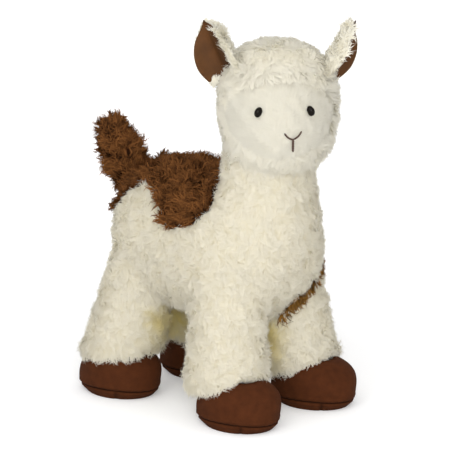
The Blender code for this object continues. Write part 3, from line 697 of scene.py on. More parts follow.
# Balls for the painted shade between the legs and under the belly
LEG_BALL_HEIGHTS, LEG_BALL_RADIUS = (0.045, 0.075, 0.105), 0.026
BELLY_BALLS, BELLY_BALL_RADIUS, BELLY_HEIGHT = (-0.055, -0.02, 0.015, 0.05), 0.048, 0.150


def shade_balls():
    """Balls that stand in for the legs and the belly in the painted shade, each as its middle and its
    radius.
    """
    balls = []
    for leg in LEGS:
        low, high = (np.array(corner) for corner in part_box(leg + "_skin"))
        middle = 0.5 * (low + high)
        for height in LEG_BALL_HEIGHTS:
            balls.append((np.array([middle[0], middle[1], height]), LEG_BALL_RADIUS))
    for along in BELLY_BALLS:
        balls.append((np.array([0.0, along, BELLY_HEIGHT]) + SHIFT, BELLY_BALL_RADIUS))
    return balls


def cream_painted_shade(points, normals):
    """Painted shade: how much of what each place looks out on is pile, from 0 to 1. The cream is
    coloured mustard there, as if light bounced from lock to lock.

    The belly and the legs stand in as balls. Each ball adds the cosine between the normal and the
    way to it, times the square of its radius over its distance.
    """
    total = np.zeros(len(points))
    for middle, radius in shade_balls():
        way = middle - points
        far = np.linalg.norm(way, axis=1)
        facing = np.clip(np.sum(way * normals, axis=1) / far, 0.0, 1.0)
        total += facing * np.minimum(radius / far, 1.0) ** 2
    return smooth_step(total, 0.20, 0.80)


def even(points, _):
    """No painted shade anywhere."""
    return np.zeros(len(points))


def joined(parts):
    """Several sets of vertices, faces and attributes as one."""
    vertices = np.concatenate([part[0] for part in parts])
    faces, start = [], 0
    for own, blocks, _ in parts:
        faces += [block + start for block in blocks]
        start += len(own)
    attributes = {label: np.concatenate([part[2][label] for part in parts]) for label in parts[0][2]}
    return vertices, faces, attributes


def bare_cloth(normals, crowded):
    """The attributes of the cloth under the pile: a lock's root colour, painted shade in the gaps between
    locks, and a middle tint.
    """
    count = len(normals)
    return {"along": np.zeros(count), "tint": np.full(count, 0.5), "crowded": crowded, "soft": normals}


def backing(form, index, shade_mask):
    """The part of the backing cloth that belongs to a panel."""
    own = form.triangles[form.face_panel == index]
    used, renumbered = np.unique(own, return_inverse=True)
    points, normals = form.vertices[used], form.normals[used]
    return points, [renumbered.reshape(-1, 3)], bare_cloth(normals, shade_mask(points, normals))


shared = {}


def shared_form():
    """The stuffed form and the roots of all its locks, worked out once."""
    if not shared:
        settings = bpy.context.scene.llama_pile
        form = stuffed_form(settings)
        most = SQUARE_METRE * max(
            settings.body_density, settings.head_density, settings.face_density, settings.saddle_density)
        roots, normals = form.scatter(most, SEED)
        owners = form.panels.nearest(roots)
        shared.update(form=form, roots=roots, normals=normals, owners=owners, most=most)
    return shared


def own_roots(name, density):
    """The roots on one panel, thinned to its density."""
    data = shared_form()
    index = PANELS.index(name)
    chance = np.random.default_rng(SEED + 1 + index).random(len(data["roots"]))
    chosen = (data["owners"] == index) & (chance < SQUARE_METRE * density / data["most"])
    return index, data["roots"][chosen], data["normals"][chosen]


def wandering(roots, wander, seed):
    """The ripple of the tufts, and a share of the finer ripple of the curls."""
    tuft, curl, share = wander
    return ripple(roots, tuft, seed) + share * ripple(roots, curl, seed + 1)


def pile_piece(name, node, locks, index, material, shade_mask=even):
    """A padded panel: its backing cloth and its locks in one mesh."""
    mesh = new_mesh(name, *joined([backing(shared_form()["form"], index, shade_mask), locks]))
    new_piece(name, mesh, material, [node])


def scaled(colour, share):
    """A colour made darker or lighter."""
    return tuple(share * part for part in colour)


def pile_material(name, colours):
    """The material of one kind of pile, made once."""
    made = bpy.data.materials.get(name)
    if made:
        return made
    root, tip, shade_gold_colour, depth, contrast, share, sheen = PILES[name]
    root, tip, shade_gold_colour = (tuple(getattr(colours, label)) for label in (root, tip, shade_gold_colour))
    # The root darkened by its share: painted shade low in the pile.
    return pile_finish(name, scaled(root, depth), tip, contrast, share, shade_gold_colour, sheen)


def cream_panel(name, node, index, roots, normals, comb, lift, scene):
    """A panel of the body or a leg with its curly cream pile. The lift makes locks longer."""
    pile = scene.llama_pile
    # Where the legs and the belly hem the pile in, its colour goes mustard: painted shade.
    locks = grow(roots, normals, comb, pile.body_length * lift, pile.body_width, seed=SEED + index,
                 crowded=cream_painted_shade(roots, normals), **CREAM_LOCK)
    material = pile_material("cream_curls", scene.llama_colours)
    pile_piece(name, node, locks, index, material, cream_painted_shade)


class LLAMA_OT_body(bpy.types.Operator):
    """Curly cream pile of the body and the neck"""

    bl_idname = "llama.body"
    bl_label = "Body pile"

    def execute(self, context):
        for node in ("body_side_left", "body_side_right"):
            index, roots, normals = own_roots(node, context.scene.llama_pile.body_density)
            wander = wandering(roots, BODY_WANDER, 3)
            comb = flattened(0.55 * DOWN + np.array([0.0, 0.15, 0.0]) + 0.75 * wander, normals)
            lift = 1.0 + 0.18 * ripple(roots, LIFT_SIZE, 5)[:, 0]
            cream_panel(node + "_pile", node, index, roots, normals, comb, lift, context.scene)
        return {"FINISHED"}


class LLAMA_OT_legs(bpy.types.Operator):
    """Curly cream pile of the legs, with a longer fringe over each hoof"""

    bl_idname = "llama.legs"
    bl_label = "Leg pile"

    def execute(self, context):
        for leg in LEGS:
            node = leg + "_skin"
            index, roots, normals = own_roots(node, context.scene.llama_pile.body_density)
            outer = normals[:, 2] > -0.55  # none grows under the cuff
            roots, normals = roots[outer], normals[outer]
            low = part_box(node)[0].z
            fringe = 1.0 - smooth_step(roots[:, 2], low + 0.006, low + 0.022)
            wander = wandering(roots, BODY_WANDER, 6)
            comb = flattened((0.8 + fringe)[:, None] * DOWN + 0.7 * wander, normals)
            lift = 1.0 + 0.18 * ripple(roots, LIFT_SIZE, 8)[:, 0] + 0.15 * fringe
            cream_panel(leg + "_pile", node, index, roots, normals, comb, lift, context.scene)
        return {"FINISHED"}


class LLAMA_OT_brown(bpy.types.Operator):
    """Shaggy brown pile of the saddle, the flank patch and the tail"""

    bl_idname = "llama.brown"
    bl_label = "Saddle, flank and tail pile"

    def execute(self, context):
        pile = context.scene.llama_pile
        material = pile_material("brown_curls", context.scene.llama_colours)
        # The main way of combing, the wandering's weight, how dense, how long, how golden, the locks
        for node, piece, heading, order, fuller, shorter, golden, lock in (
            ("saddle_panel", "saddle_pile", np.array([0.0, 0.25, -0.45]), 0.95, 1.0, 1.0, 0.0, BROWN_LOCK),
            ("flank_patch", "flank_pile", np.array([0.0, 0.0, -0.9]), 0.6, 1.4, 0.82, 0.9, FLANK_LOCK),
            ("tail_skin", "tail_pile", unit(TAIL_WAY) * 0.9, 0.75, 1.0, 1.0, 0.0, BROWN_LOCK),
        ):
            index, roots, normals = own_roots(node, pile.saddle_density * fuller)
            comb = flattened(heading + order * wandering(roots, BROWN_WANDER, 9 + index), normals)
            lift = 1.0 + 0.2 * ripple(roots, LIFT_SIZE, 11)[:, 0]
            locks = grow(roots, normals, comb, pile.saddle_length * lift * shorter, pile.saddle_width,
                         seed=SEED + index, crowded=golden, **lock)
            pile_piece(piece, node, locks, index, material)
        return {"FINISHED"}


class LLAMA_OT_head(bpy.types.Operator):
    """Pile of the head with its fluffy forelock, and the short pile of the face"""

    bl_idname = "llama.head"
    bl_label = "Head and face pile"

    def execute(self, context):
        pile = context.scene.llama_pile
        colours = context.scene.llama_colours
        index, roots, normals = own_roots("head_panel", pile.head_density)
        # Towards its left, backwards and up in the head's own frame. From them: how far each place is
        # forelock, cheek, front edge of the forelock and the fuller pile on the left
        sideways, backwards, up = ((roots - HEAD_CENTRE) @ HEAD_AXES).T
        forelock = smooth_step(up, 0.012, 0.026) * smooth_step(-backwards, -0.01, 0.02)
        cheek = smooth_step(-backwards, -0.014, 0.014) * (1.0 - forelock) * smooth_step(up, -0.040, -0.024)
        edge = forelock * (1.0 - smooth_step(up, 0.030, 0.040)) * smooth_step(-backwards, 0.010, 0.026)
        fuller = smooth_step(sideways, 0.020, 0.036) * (1.0 - smooth_step(up, 0.020, 0.034))
        away = flattened(roots - MUZZLE, normals)
        forward = np.array(HEAD_AXES @ np.array([0.0, -0.5, -0.7]))
        comb = flattened((1.0 - forelock)[:, None] * (0.5 * away + 0.7 * DOWN) + forelock[:, None] * forward
                         + 0.45 * wandering(roots, HEAD_WANDER, 30), normals)
        length = pile.head_length * (
            1.0 - 0.50 * cheek * (1.0 - fuller) + 0.25 * forelock + 0.25 * edge + 0.25 * fuller)
        risen = HEAD_RISE * np.maximum(edge, fuller)[:, None]
        locks = grow(roots, normals, comb, length, HEAD_LOCK_WIDTH,
                     (HEAD_LEAN[0] - risen, HEAD_LEAN[1] - 0.6 * risen), 0.13, 3, SEED + index)
        fleece = pile_material("head_fleece", colours)
        pile_piece("head_pile", "head_panel", locks, index, fleece)

        index, roots, normals = own_roots("face_panel", pile.face_density)
        away = flattened(roots - MUZZLE + 0.002 * DOWN, normals)
        comb = flattened(away + 0.35 * ripple(roots, 0.012, 33), normals)
        hairs = grow(roots, normals, comb, pile.face_length, HAIR_WIDTH, seed=SEED + index, **FACE_HAIR)
        velvet = pile_material("face_velvet", colours)
        pile_piece("face_pile", "face_panel", hairs, index, velvet)
        return {"FINISHED"}


# Hooves

HOOF_HALF_WIDTH, HOOF_HALF_LENGTH, HOOF_HEIGHT = 0.0310, 0.0375, 0.0380
HOOF_TOP = 0.0385
HOOF_SEAM = 0.0070
HOOF_COLUMNS = 96
HOOF_TURN = np.arange(HOOF_COLUMNS) / HOOF_COLUMNS * 2.0 * math.pi
UPPER_RINGS, SIDE_RINGS, BOTTOM_RINGS = 34, 14, 9
SUEDE_THICKNESS = 0.0010


def bell(values, width):
    """A bell curve: e to the minus square of the value over the width."""
    return np.exp(-(values / width) ** 2)


def hoof_rings(heights, height):
    """How wide a hoof is at each height, as shares of its half sizes.

    Above its widest level it is a superellipse up to the opening, below it a gentler one to the sole.
    """
    widest = 0.42 * height
    above = np.clip((heights - widest) / (1.06 * height - widest), 0.0, 1.0)
    below = np.clip((widest - heights) / (1.6 * widest), 0.0, 1.0)
    upper = (1.0 - above ** 2.3) ** (1.0 / 2.3)
    lower = (1.0 - below ** 2.2) ** (1.0 / 2.2)
    return np.where(heights > widest, upper, lower)


def from_joint(turn, joint):
    """Angles measured from the joint's, between minus half a turn and half a turn."""
    return (turn - joint + math.pi) % (2.0 * math.pi) - math.pi


def hoof_surface(place, heights, inward, joint):
    """Points of the hoof: ellipses at the heights, drawn in towards the middle by the shares in inward.

    A groove runs round it at the seam's height with the cloth swelling beside it, and a short one up
    from the sole to the seam at the joint's angle.
    """
    turn = HOOF_TURN
    share = hoof_rings(heights, HOOF_HEIGHT)[:, None] * (1.0 - inward)[:, None]
    level = heights[:, None] - HOOF_SEAM
    groove = -0.0010 * bell(level, 0.0007) + 0.0006 * bell(np.abs(level) - 0.0024, 0.0014)
    pucker = 0.00030 * np.sin(turn * 29.0)[None, :] * bell(level, 0.0035)
    off = from_joint(turn, joint)
    dart = -0.0010 * bell(off, 0.06)[None, :] * (level < 0.0) * (inward[:, None] < 0.5)
    soft = 0.0009 * np.sin(3.0 * turn + 1.0)[None, :] * np.sin(heights * 160.0)[:, None]
    off_surface = (groove + pucker + soft) * (1.0 - inward)[:, None] + dart
    x = (HOOF_HALF_WIDTH * share + off_surface) * np.cos(turn)[None, :]
    y = (HOOF_HALF_LENGTH * share + off_surface) * np.sin(turn)[None, :]
    wave = np.sin(math.pi * np.clip(heights / 0.024, 0.0, 1.0))[:, None]
    z = heights[:, None] + 0.0011 * np.sin(2.0 * turn + 0.6)[None, :] * wave
    local = np.stack([x, y, z, np.ones_like(x)], axis=-1).reshape(-1, 4)
    return (local @ np.array(place).T)[:, :3]


def suede_finish(colours):
    """Suede: brushed blotches of two browns, a fine nap, and dark thread in the grooves."""
    finish = Finish("hoof_suede", 0.88, Specular_IOR_Level=0.06)
    base = tuple(colours.suede)
    nap = finish.noise(170.0, 4.0)
    fine = finish.noise(2600.0, 2.0)
    colour = finish.mix(nap, scaled(base, 0.55), scaled(base, 1.55))
    colour = finish.mix(0.35 * fine, colour, scaled(base, 1.5))
    seam = finish.attribute("seam")
    finish.set("Base Color", finish.mix(seam * 0.75, colour, scaled(base, 0.16)))
    finish.set("Roughness", 0.80 + 0.12 * nap)
    finish.set("Normal", finish.bump(fine + 0.6 * nap, 0.00035, 0.55))
    return finish.material


class LLAMA_OT_hooves(bpy.types.Operator):
    """Suede hooves: an upper and a sole that meet in a sewn seam"""

    bl_idname = "llama.hooves"
    bl_label = "Hooves"

    def execute(self, context):
        material = suede_finish(context.scene.llama_colours)
        upper = np.linspace(HOOF_SEAM, HOOF_TOP, UPPER_RINGS)
        flat = np.linspace(1.0, 0.02, BOTTOM_RINGS + 1)[:-1]
        sole = np.concatenate([np.zeros(BOTTOM_RINGS), np.linspace(0.0, HOOF_SEAM, SIDE_RINGS)])
        for leg in LEGS:
            low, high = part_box(leg + "_hoof_sole")
            hand = 1.0 if leg.endswith("left") else -1.0
            splay = math.radians(4.0 if leg.startswith("fore") else 2.0) * hand
            place = Matrix.Translation(((low.x + high.x) / 2, (low.y + high.y) / 2, 0.0))
            place = place @ Matrix.Rotation(splay, 4, "Z")
            joint = math.radians(-145.0 if leg == "hind_leg_right" else -135.0)
            for word, node, heights, inward in (
                ("_hoof", "_hoof_upper", upper, np.zeros(UPPER_RINGS)),
                ("_sole", "_hoof_sole", sole, np.concatenate([flat, np.zeros(SIDE_RINGS)])),
            ):
                points = hoof_surface(place, heights, inward, joint)
                faces = [grid_faces(len(heights), HOOF_COLUMNS, True)]
                mesh = new_mesh(leg + word, points, faces, {"seam": self.thread(heights, joint)})
                piece = new_piece(leg + word, mesh, material, [leg + node])
                give_thickness(piece, SUEDE_THICKNESS)
        return {"FINISHED"}

    def thread(self, heights, joint):
        """Where the thread shows, from 0 to 1: in the seam and in the short one under it."""
        level = np.repeat(heights, HOOF_COLUMNS) - HOOF_SEAM
        off = from_joint(np.tile(HOOF_TURN, len(heights)), joint)
        return np.maximum(bell(level, 0.0006), 0.8 * bell(off, 0.05) * (level < 0.0))


def give_thickness(piece, thickness):
    """Cloth of this thickness, laid on the inner side of the piece's surface."""
    solid = piece.modifiers.new("cloth", "SOLIDIFY")
    solid.thickness = thickness
    solid.offset = -1.0


# Ears

EAR_LENGTH = 0.0530
EAR_HALF_WIDTH = 0.0180
EAR_CUP = 0.0130
EAR_ROOT_OUT, EAR_ROOT_UP = 0.0355, 0.0195
# Each ear's side, how far it leans out and how far its hollow is turned
EAR_ROOTS = {
    "right": (-1.0, math.radians(25.0), math.radians(-38.0)),
    "left": (1.0, math.radians(31.0), math.radians(62.0)),
}
EAR_SHARES = np.array([0.0, 0.22, 0.46, 0.72, 0.90, 1.0])
EAR_WIDTHS = np.array([0.76, 0.97, 1.0, 0.83, 0.60, 0.44])
EAR_ROWS, EAR_COLUMNS = 40, 25
FLUFF_COUNT, NAP_COUNT, NAP_LENGTH = 2700, 620, 0.0042
EAR_FRINGES = {"right": (1900, 0.0120), "left": (900, 0.0045)}
RIM_START = 0.42
SATIN_EDGE, SATIN_THICKNESS = 0.72, 0.0006


def ear_place(word):
    """Where an ear's own frame lies: its root on the head, leaning out, its hollow turned."""
    hand, lean, facing = EAR_ROOTS[word]
    head = Matrix.Translation(Vector(HEAD_CENTRE)) @ Matrix.Rotation(HEAD_TURN, 4, "Z")
    root = head @ Matrix.Translation((hand * EAR_ROOT_OUT, 0.0, EAR_ROOT_UP))
    return np.array(root @ Matrix.Rotation(hand * lean, 4, "Y") @ Matrix.Rotation(facing, 4, "Z"))


def ear_leaf(place, offset, margin=0.0, dip=0.0):
    """The leaf: its width is the mean of the knots' curve over a window, closed by a rounded tip.

    It is hollow as the square of the place across. The offset moves it back, less towards its rim,
    the margin narrows it, and the dip presses a fold down its middle. The hollow faces -Y, and the
    grid runs up the leaf and then across it.
    """
    share = np.linspace(0.0, 1.0, EAR_ROWS)[:, None]
    across = np.linspace(-1.0, 1.0, EAR_COLUMNS)[None, :]
    window = share[..., None] + np.linspace(-0.14, 0.14, 15)
    tip = np.sqrt(1.0 - 0.98 * share ** 12)
    width = np.interp(window, EAR_SHARES, EAR_WIDTHS).mean(axis=-1) * tip
    x = np.maximum(EAR_HALF_WIDTH * width - margin, 0.0004) * across
    y = -EAR_CUP * (x / EAR_HALF_WIDTH) ** 2 + offset * np.sqrt(np.clip(1.0 - across ** 2, 0.0, 1.0))
    y = y - dip * bell(across - 0.15, 0.20) * np.sin(math.pi * np.clip(share * 1.1, 0.0, 1.0))
    z = EAR_LENGTH * share * (1.0 - (0.03 + 0.09 * share ** 4) * across ** 2)
    points = np.stack([x, y, z], axis=-1).reshape(-1, 3)
    return points @ place[:3, :3].T + place[:3, 3]


def ear_grid(word):
    """Each grid point's place across the ear, from -1 outside to 1 inside, and up it, from 0 to 1.

    The third is which way along the ear's own X the inside lies.
    """
    inner_side = 1.0 if word == "right" else -1.0
    side = np.tile(np.linspace(-1.0, 1.0, EAR_COLUMNS), EAR_ROWS) * inner_side
    return side, np.repeat(np.linspace(0.0, 1.0, EAR_ROWS), EAR_COLUMNS), inner_side


def grid_normals(points, rows, columns):
    """Unit normals of a grid, from the differences along its two ways."""
    grid = points.reshape(rows, columns, 3)
    return unit(np.cross(np.gradient(grid, axis=1), np.gradient(grid, axis=0))).reshape(-1, 3)


def picked(rng, points, where, count, jitter):
    """So many points drawn where the mask is true, and their places moved a little by chance."""
    pick = rng.choice(np.flatnonzero(where), count)
    return pick, points[pick] + rng.normal(0.0, jitter, (count, 3))


def satin_finish(colours):
    """Satin: fine weave, a slow change of tone along the nap, a soft shine, and painted shade in the
    hollow.
    """
    finish = Finish("ear_satin", 0.50, Specular_IOR_Level=0.15)
    base = tuple(colours.satin)
    tone = finish.noise(120.0, 3.0)
    weave = finish.noise(3200.0, 1.0)
    colour = finish.mix(tone, scaled(base, 0.55), scaled(base, 1.35))
    hollow = finish.attribute("hollow")
    # Painted shade: darker down the middle of the hollow and towards the ear's root.
    finish.set("Base Color", finish.mix(hollow * 0.75, colour, scaled(base, 0.28)))
    finish.set("Roughness", 0.42 + 0.2 * weave)
    finish.set("Normal", finish.bump(weave + 0.8 * tone, 0.0003, 0.5))
    return finish.material


class LLAMA_OT_ears(bpy.types.Operator):
    """Ears: cream pile on the back and round the rim, brown satin in the hollow"""

    bl_idname = "llama.ears"
    bl_label = "Ears"

    def execute(self, context):
        colours = context.scene.llama_colours
        satin = satin_finish(colours)
        for word in ("left", "right"):
            self.coat(word, pile_material("head_fleece", colours))
            self.lining(word, satin)
        return {"FINISHED"}

    def coat(self, word, material):
        """The cloth with fluff on its back, a fringe inside its rim and short nap on its outer part."""
        place = ear_place(word)
        rear, front = ear_leaf(place, 0.0034), ear_leaf(place, -0.0002)
        normals = -grid_normals(rear, EAR_ROWS, EAR_COLUMNS)
        side, share, inner_side = ear_grid(word)
        upward = unit(place[:3, :3] @ np.array([0.0, 0.0, 1.0]))
        rimward = unit(place[:3, :3] @ np.array([inner_side, 0.0, 0.0]))
        sweep = 0.5 * upward + 0.6 * rimward
        faces = grid_faces(EAR_ROWS, EAR_COLUMNS, False)
        plain = np.zeros(len(rear))
        parts = [
            (rear, [faces[:, ::-1]], bare_cloth(normals, plain)),
            (front, [faces], bare_cloth(-normals, plain)),
        ]

        rng = np.random.default_rng(SEED + (60 if word == "left" else 61))
        where = (side > 0.6 * share - 0.85) & (share < 0.92)
        pick, roots = picked(rng, rear, where, FLUFF_COUNT, 0.0006)
        comb = flattened(sweep + 0.5 * ripple(roots, 0.012, 62), normals[pick])
        length = 0.0060 + 0.0060 * smooth_step(side[pick], 0.1, 0.9)
        parts.append(grow(roots, normals[pick], comb, length, HAIR_WIDTH, seed=SEED + 63, **EAR_FLUFF))

        count, length = EAR_FRINGES[word]
        where = ((side > RIM_START + 0.35 * share) & (share < 0.90)) | (share < 0.10)
        pick, roots = picked(rng, front, where, count, 0.0005)
        rim = np.clip((side[pick] - RIM_START) / (1.0 - RIM_START), 0.0, 1.0)
        outer = unit(0.8 * rim[:, None] * rimward - normals[pick])
        comb = flattened(0.35 * upward + 0.8 * rimward + 0.45 * ripple(roots, 0.01, 64), outer)
        length = length * (0.5 + 0.5 * rim)
        parts.append(grow(roots, outer, comb, length, HAIR_WIDTH, seed=SEED + 65, **EAR_FRINGE))

        where = (side < 0.6 * share - 0.70) & (side > -0.97) & (share < 0.96)
        pick, roots = picked(rng, rear, where, NAP_COUNT, 0.0003)
        comb = flattened(sweep + 0.35 * ripple(roots, 0.008, 66), normals[pick])
        parts.append(grow(roots, normals[pick], comb, NAP_LENGTH, HAIR_WIDTH, seed=SEED + 67, **EAR_NAP))

        name = "ear_" + word + "_pile"
        mesh = new_mesh(name, *joined(parts))
        new_piece(name, mesh, material, ["ear_back_" + word])

    def lining(self, word, material):
        """The satin in the hollow, up to where the fringe begins."""
        side, share, _ = ear_grid(word)
        kept = side[:EAR_COLUMNS] < SATIN_EDGE
        # Where shade is painted: a band a little inside the middle, fading towards the tip.
        hollow = bell(side - 0.25, 0.35) * (1.0 - 0.6 * share)
        points = ear_leaf(ear_place(word), -0.0010, 0.0002, 0.0022)
        points, hollow = (values.reshape(EAR_ROWS, EAR_COLUMNS, -1)[:, kept] for values in (points, hollow))
        name = "ear_" + word + "_satin"
        faces = [grid_faces(EAR_ROWS, kept.sum(), False)]
        mesh = new_mesh(name, points.reshape(-1, 3), faces, {"hollow": hollow.ravel()})
        give_thickness(new_piece(name, mesh, material, ["ear_lining_" + word]), SATIN_THICKNESS)


# Eyes and mouth

EYE_RADIUS, EYE_RISE, EYE_DEPTH = 0.0043, 0.0040, 0.0034
EYE_NARROW = 0.70
EYE_TILT = math.radians(20.0)
EYE_ROWS, EYE_COLUMNS = 18, 40
HEAD_FRONT = HEAD_AXES @ np.array([0.0, -1.0, 0.0])
THREAD_STEPS, THREAD_COLUMNS, THREAD_TURNING = 26, 8, 22.0


def eye_finish():
    """Polished dark plastic, clouded with a little brown."""
    finish = Finish("eye_plastic", 0.06, Specular_IOR_Level=0.12)
    tone = finish.mottle(500.0, 2.0, (0.002, 0.0015, 0.001), (0.008, 0.005, 0.003))
    finish.set("Roughness", 0.05 + 0.04 * tone)
    return finish.material


class LLAMA_OT_eyes(bpy.types.Operator):
    """Domed eyes that sit in the face pile"""

    bl_idname = "llama.eyes"
    bl_label = "Eyes"

    def execute(self, context):
        material = eye_finish()
        for word in ("left", "right"):
            name = "eye_" + word + "_dome"
            vertices, faces = self.dome(word)
            mesh = new_mesh(name, vertices, faces, {})
            turn_faces_out(mesh, Vector(vertices.mean(axis=0)))
            new_piece(name, mesh, material, ["eye_" + word])
        return {"FINISHED"}

    def dome(self, word):
        """Half an ellipsoid: ellipses by the sine of the angle from its pole, raised by the cosine."""
        points = corners_of(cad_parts["eye_" + word].data)
        angle = np.linspace(0.0, 0.5 * math.pi, EYE_ROWS)[:, None]
        turn = (np.arange(EYE_COLUMNS) / EYE_COLUMNS * 2.0 * math.pi)[None, :]
        outward, side, up = eye_axes(points)
        radius = EYE_RADIUS * np.sin(np.maximum(angle, 0.02))
        rise = np.broadcast_to(EYE_RISE * np.cos(angle), (EYE_ROWS, EYE_COLUMNS))
        base = points[np.argmax(points @ outward)] - outward * EYE_DEPTH
        lean = EYE_TILT if word == "right" else -EYE_TILT
        up, side = math.cos(lean) * up + math.sin(lean) * side, math.cos(lean) * side - math.sin(lean) * up
        grid = (base + (radius * np.cos(turn))[..., None] * side * EYE_NARROW
                + (radius * np.sin(turn))[..., None] * up + rise[..., None] * outward)
        pole = base + EYE_RISE * outward
        ring = np.arange(EYE_COLUMNS)
        top = np.full(EYE_COLUMNS, EYE_ROWS * EYE_COLUMNS)
        cap = np.stack([top, ring, (ring + 1) % EYE_COLUMNS], axis=1)
        faces = [grid_faces(EYE_ROWS, EYE_COLUMNS, True)[:, ::-1], cap[:, ::-1]]
        return np.concatenate([grid.reshape(-1, 3), pole[None]]), faces


def turn_faces_out(mesh, middle):
    """Turn the faces of a shell round if most of them look at its middle."""
    mesh.update()
    facing = sum(polygon.normal.dot(polygon.center - middle) * polygon.area for polygon in mesh.polygons)
    if facing < 0.0:
        mesh.flip_normals()


def eye_axes(points):
    """The way an eye looks, its side and its up.

    It looks along the one of its solid's main directions that lies nearest to the head's front.
    """
    centred = points - points.mean(axis=0)
    _, _, axes = np.linalg.svd(centred, full_matrices=False)
    outward = max(axes, key=lambda axis: abs(axis @ HEAD_FRONT))
    outward = outward * np.sign(outward @ HEAD_FRONT)
    up = flattened(np.array([[0.0, 0.0, 1.0]]), outward[None])[0]
    return outward, np.cross(up, outward), up


def tube(path, radius, columns):
    """A round profile carried along a path: a ring of the given radius square to it at each point."""
    tangent = unit(np.gradient(path, axis=0))
    side = unit(np.cross(tangent, HEAD_FRONT))
    above = np.cross(side, tangent)
    turn = (np.arange(columns) / columns * 2.0 * math.pi)[None, :, None]
    ring = np.cos(turn) * side[:, None, :] + np.sin(turn) * above[:, None, :]
    points = path[:, None, :] + radius[:, None, None] * ring
    return points.reshape(-1, 3), grid_faces(len(path), columns, True)


def arc(start, bend, end, share):
    """A curve by its ends and the point it bends towards: a Bezier curve of the second degree."""
    start, bend, end = np.array(start), np.array(bend), np.array(end)
    return (1 - share) ** 2 * start + 2 * share * (1 - share) * bend + share ** 2 * end


class LLAMA_OT_mouth(bpy.types.Operator):
    """Mouth: a Y of twisted thread that lies on the face pile"""

    bl_idname = "llama.mouth"
    bl_label = "Mouth"

    def execute(self, context):
        finish = Finish("mouth_thread", 0.55, Specular_IOR_Level=0.4, Sheen_Weight=0.2)
        finish.mottle(1800.0, 2.0, (0.026, 0.009, 0.004), (0.075, 0.026, 0.010), 0.0002, 0.5)
        shift, drop = 0.0068, 0.0150  # from the head's centre to the middle of the mouth
        joint = (shift, -drop - 0.0048)
        arms = (
            ((shift - 0.0070, -drop + 0.0006), (shift - 0.0042, -drop - 0.0041), joint, 0.00050),
            ((shift + 0.0068, -drop + 0.0014), (shift + 0.0046, -drop - 0.0036), joint, 0.00050),
            (joint, (shift - 0.0002, -drop - 0.0095), (shift + 0.0001, -drop - 0.0150), 0.00072),
        )
        share = np.linspace(0.0, 1.0, THREAD_STEPS)[:, None]
        ends = np.sqrt(np.clip(1.0 - np.abs(2.0 * share[:, 0] - 1.0) ** 8, 0.0, 1.0))
        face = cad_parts["face_panel"].data
        tree = BVHTree.FromPolygons(
            corners_of(face).tolist(), [tuple(polygon.vertices) for polygon in face.polygons])
        parts = []
        for start, bend, end, radius in arms:
            line = on_face(tree, arc(start, bend, end, share))
            for strand in (0.0, math.pi):
                twist = share[:, 0] * THREAD_TURNING + strand
                offset = np.stack([np.cos(twist), np.zeros_like(twist), np.sin(twist)], axis=1)
                strand_line = line + 0.00030 * offset @ HEAD_AXES.T
                points, faces = tube(strand_line, radius * ends + 0.00004, THREAD_COLUMNS)
                parts.append((points, [faces], {}))
        mesh = new_mesh("mouth_thread", *joined(parts))
        new_piece("mouth_thread", mesh, finish.material, ["mouth_stitching"])
        return {"FINISHED"}


def on_face(tree, flat):
    """Places across and up on the face, carried straight back onto the face panel's solid."""
    backward = -Vector(HEAD_FRONT)
    found = []
    for across, height in flat:
        start = Vector(HEAD_CENTRE + HEAD_AXES @ np.array([across, -0.15, height]))
        place, _, _, _ = tree.ray_cast(start, backward)
        if place is None:
            raise RuntimeError("the mouth runs off the face")
        found.append(np.array(place - backward * 0.0008))
    return np.array(found)


# What lies inside


class LLAMA_OT_inside(bpy.types.Operator):
    """Fibre of the stuffings and moulded plastic of the eye washers"""

    bl_idname = "llama.inside"
    bl_label = "Stuffing and washers"

    def execute(self, context):
        fibre = Finish("stuffing_fibre", 0.95, Sheen_Weight=0.3)
        fibre.mottle(420.0, 5.0, (0.74, 0.73, 0.70), (0.90, 0.89, 0.87), 0.001, 0.6)
        washer = Finish("washer_plastic", 0.45)
        washer.mottle(1500.0, 2.0, (0.72, 0.72, 0.70), (0.82, 0.82, 0.80), 0.0001, 0.3)
        for name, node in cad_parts.items():
            for word, finish in (("stuffing", fibre), ("washer", washer)):
                if word in name:
                    node.data.materials.clear()
                    node.data.materials.append(finish.material)
        return {"FINISHED"}


STAGE_MIDDLE = Vector((0.0, 0.0, 0.15))
CAMERA_RIGHT, CAMERA_DOWN = 0.01193, 0.00613
FLOOR_RADIUS, FLOOR_COLUMNS = 6.0, 64


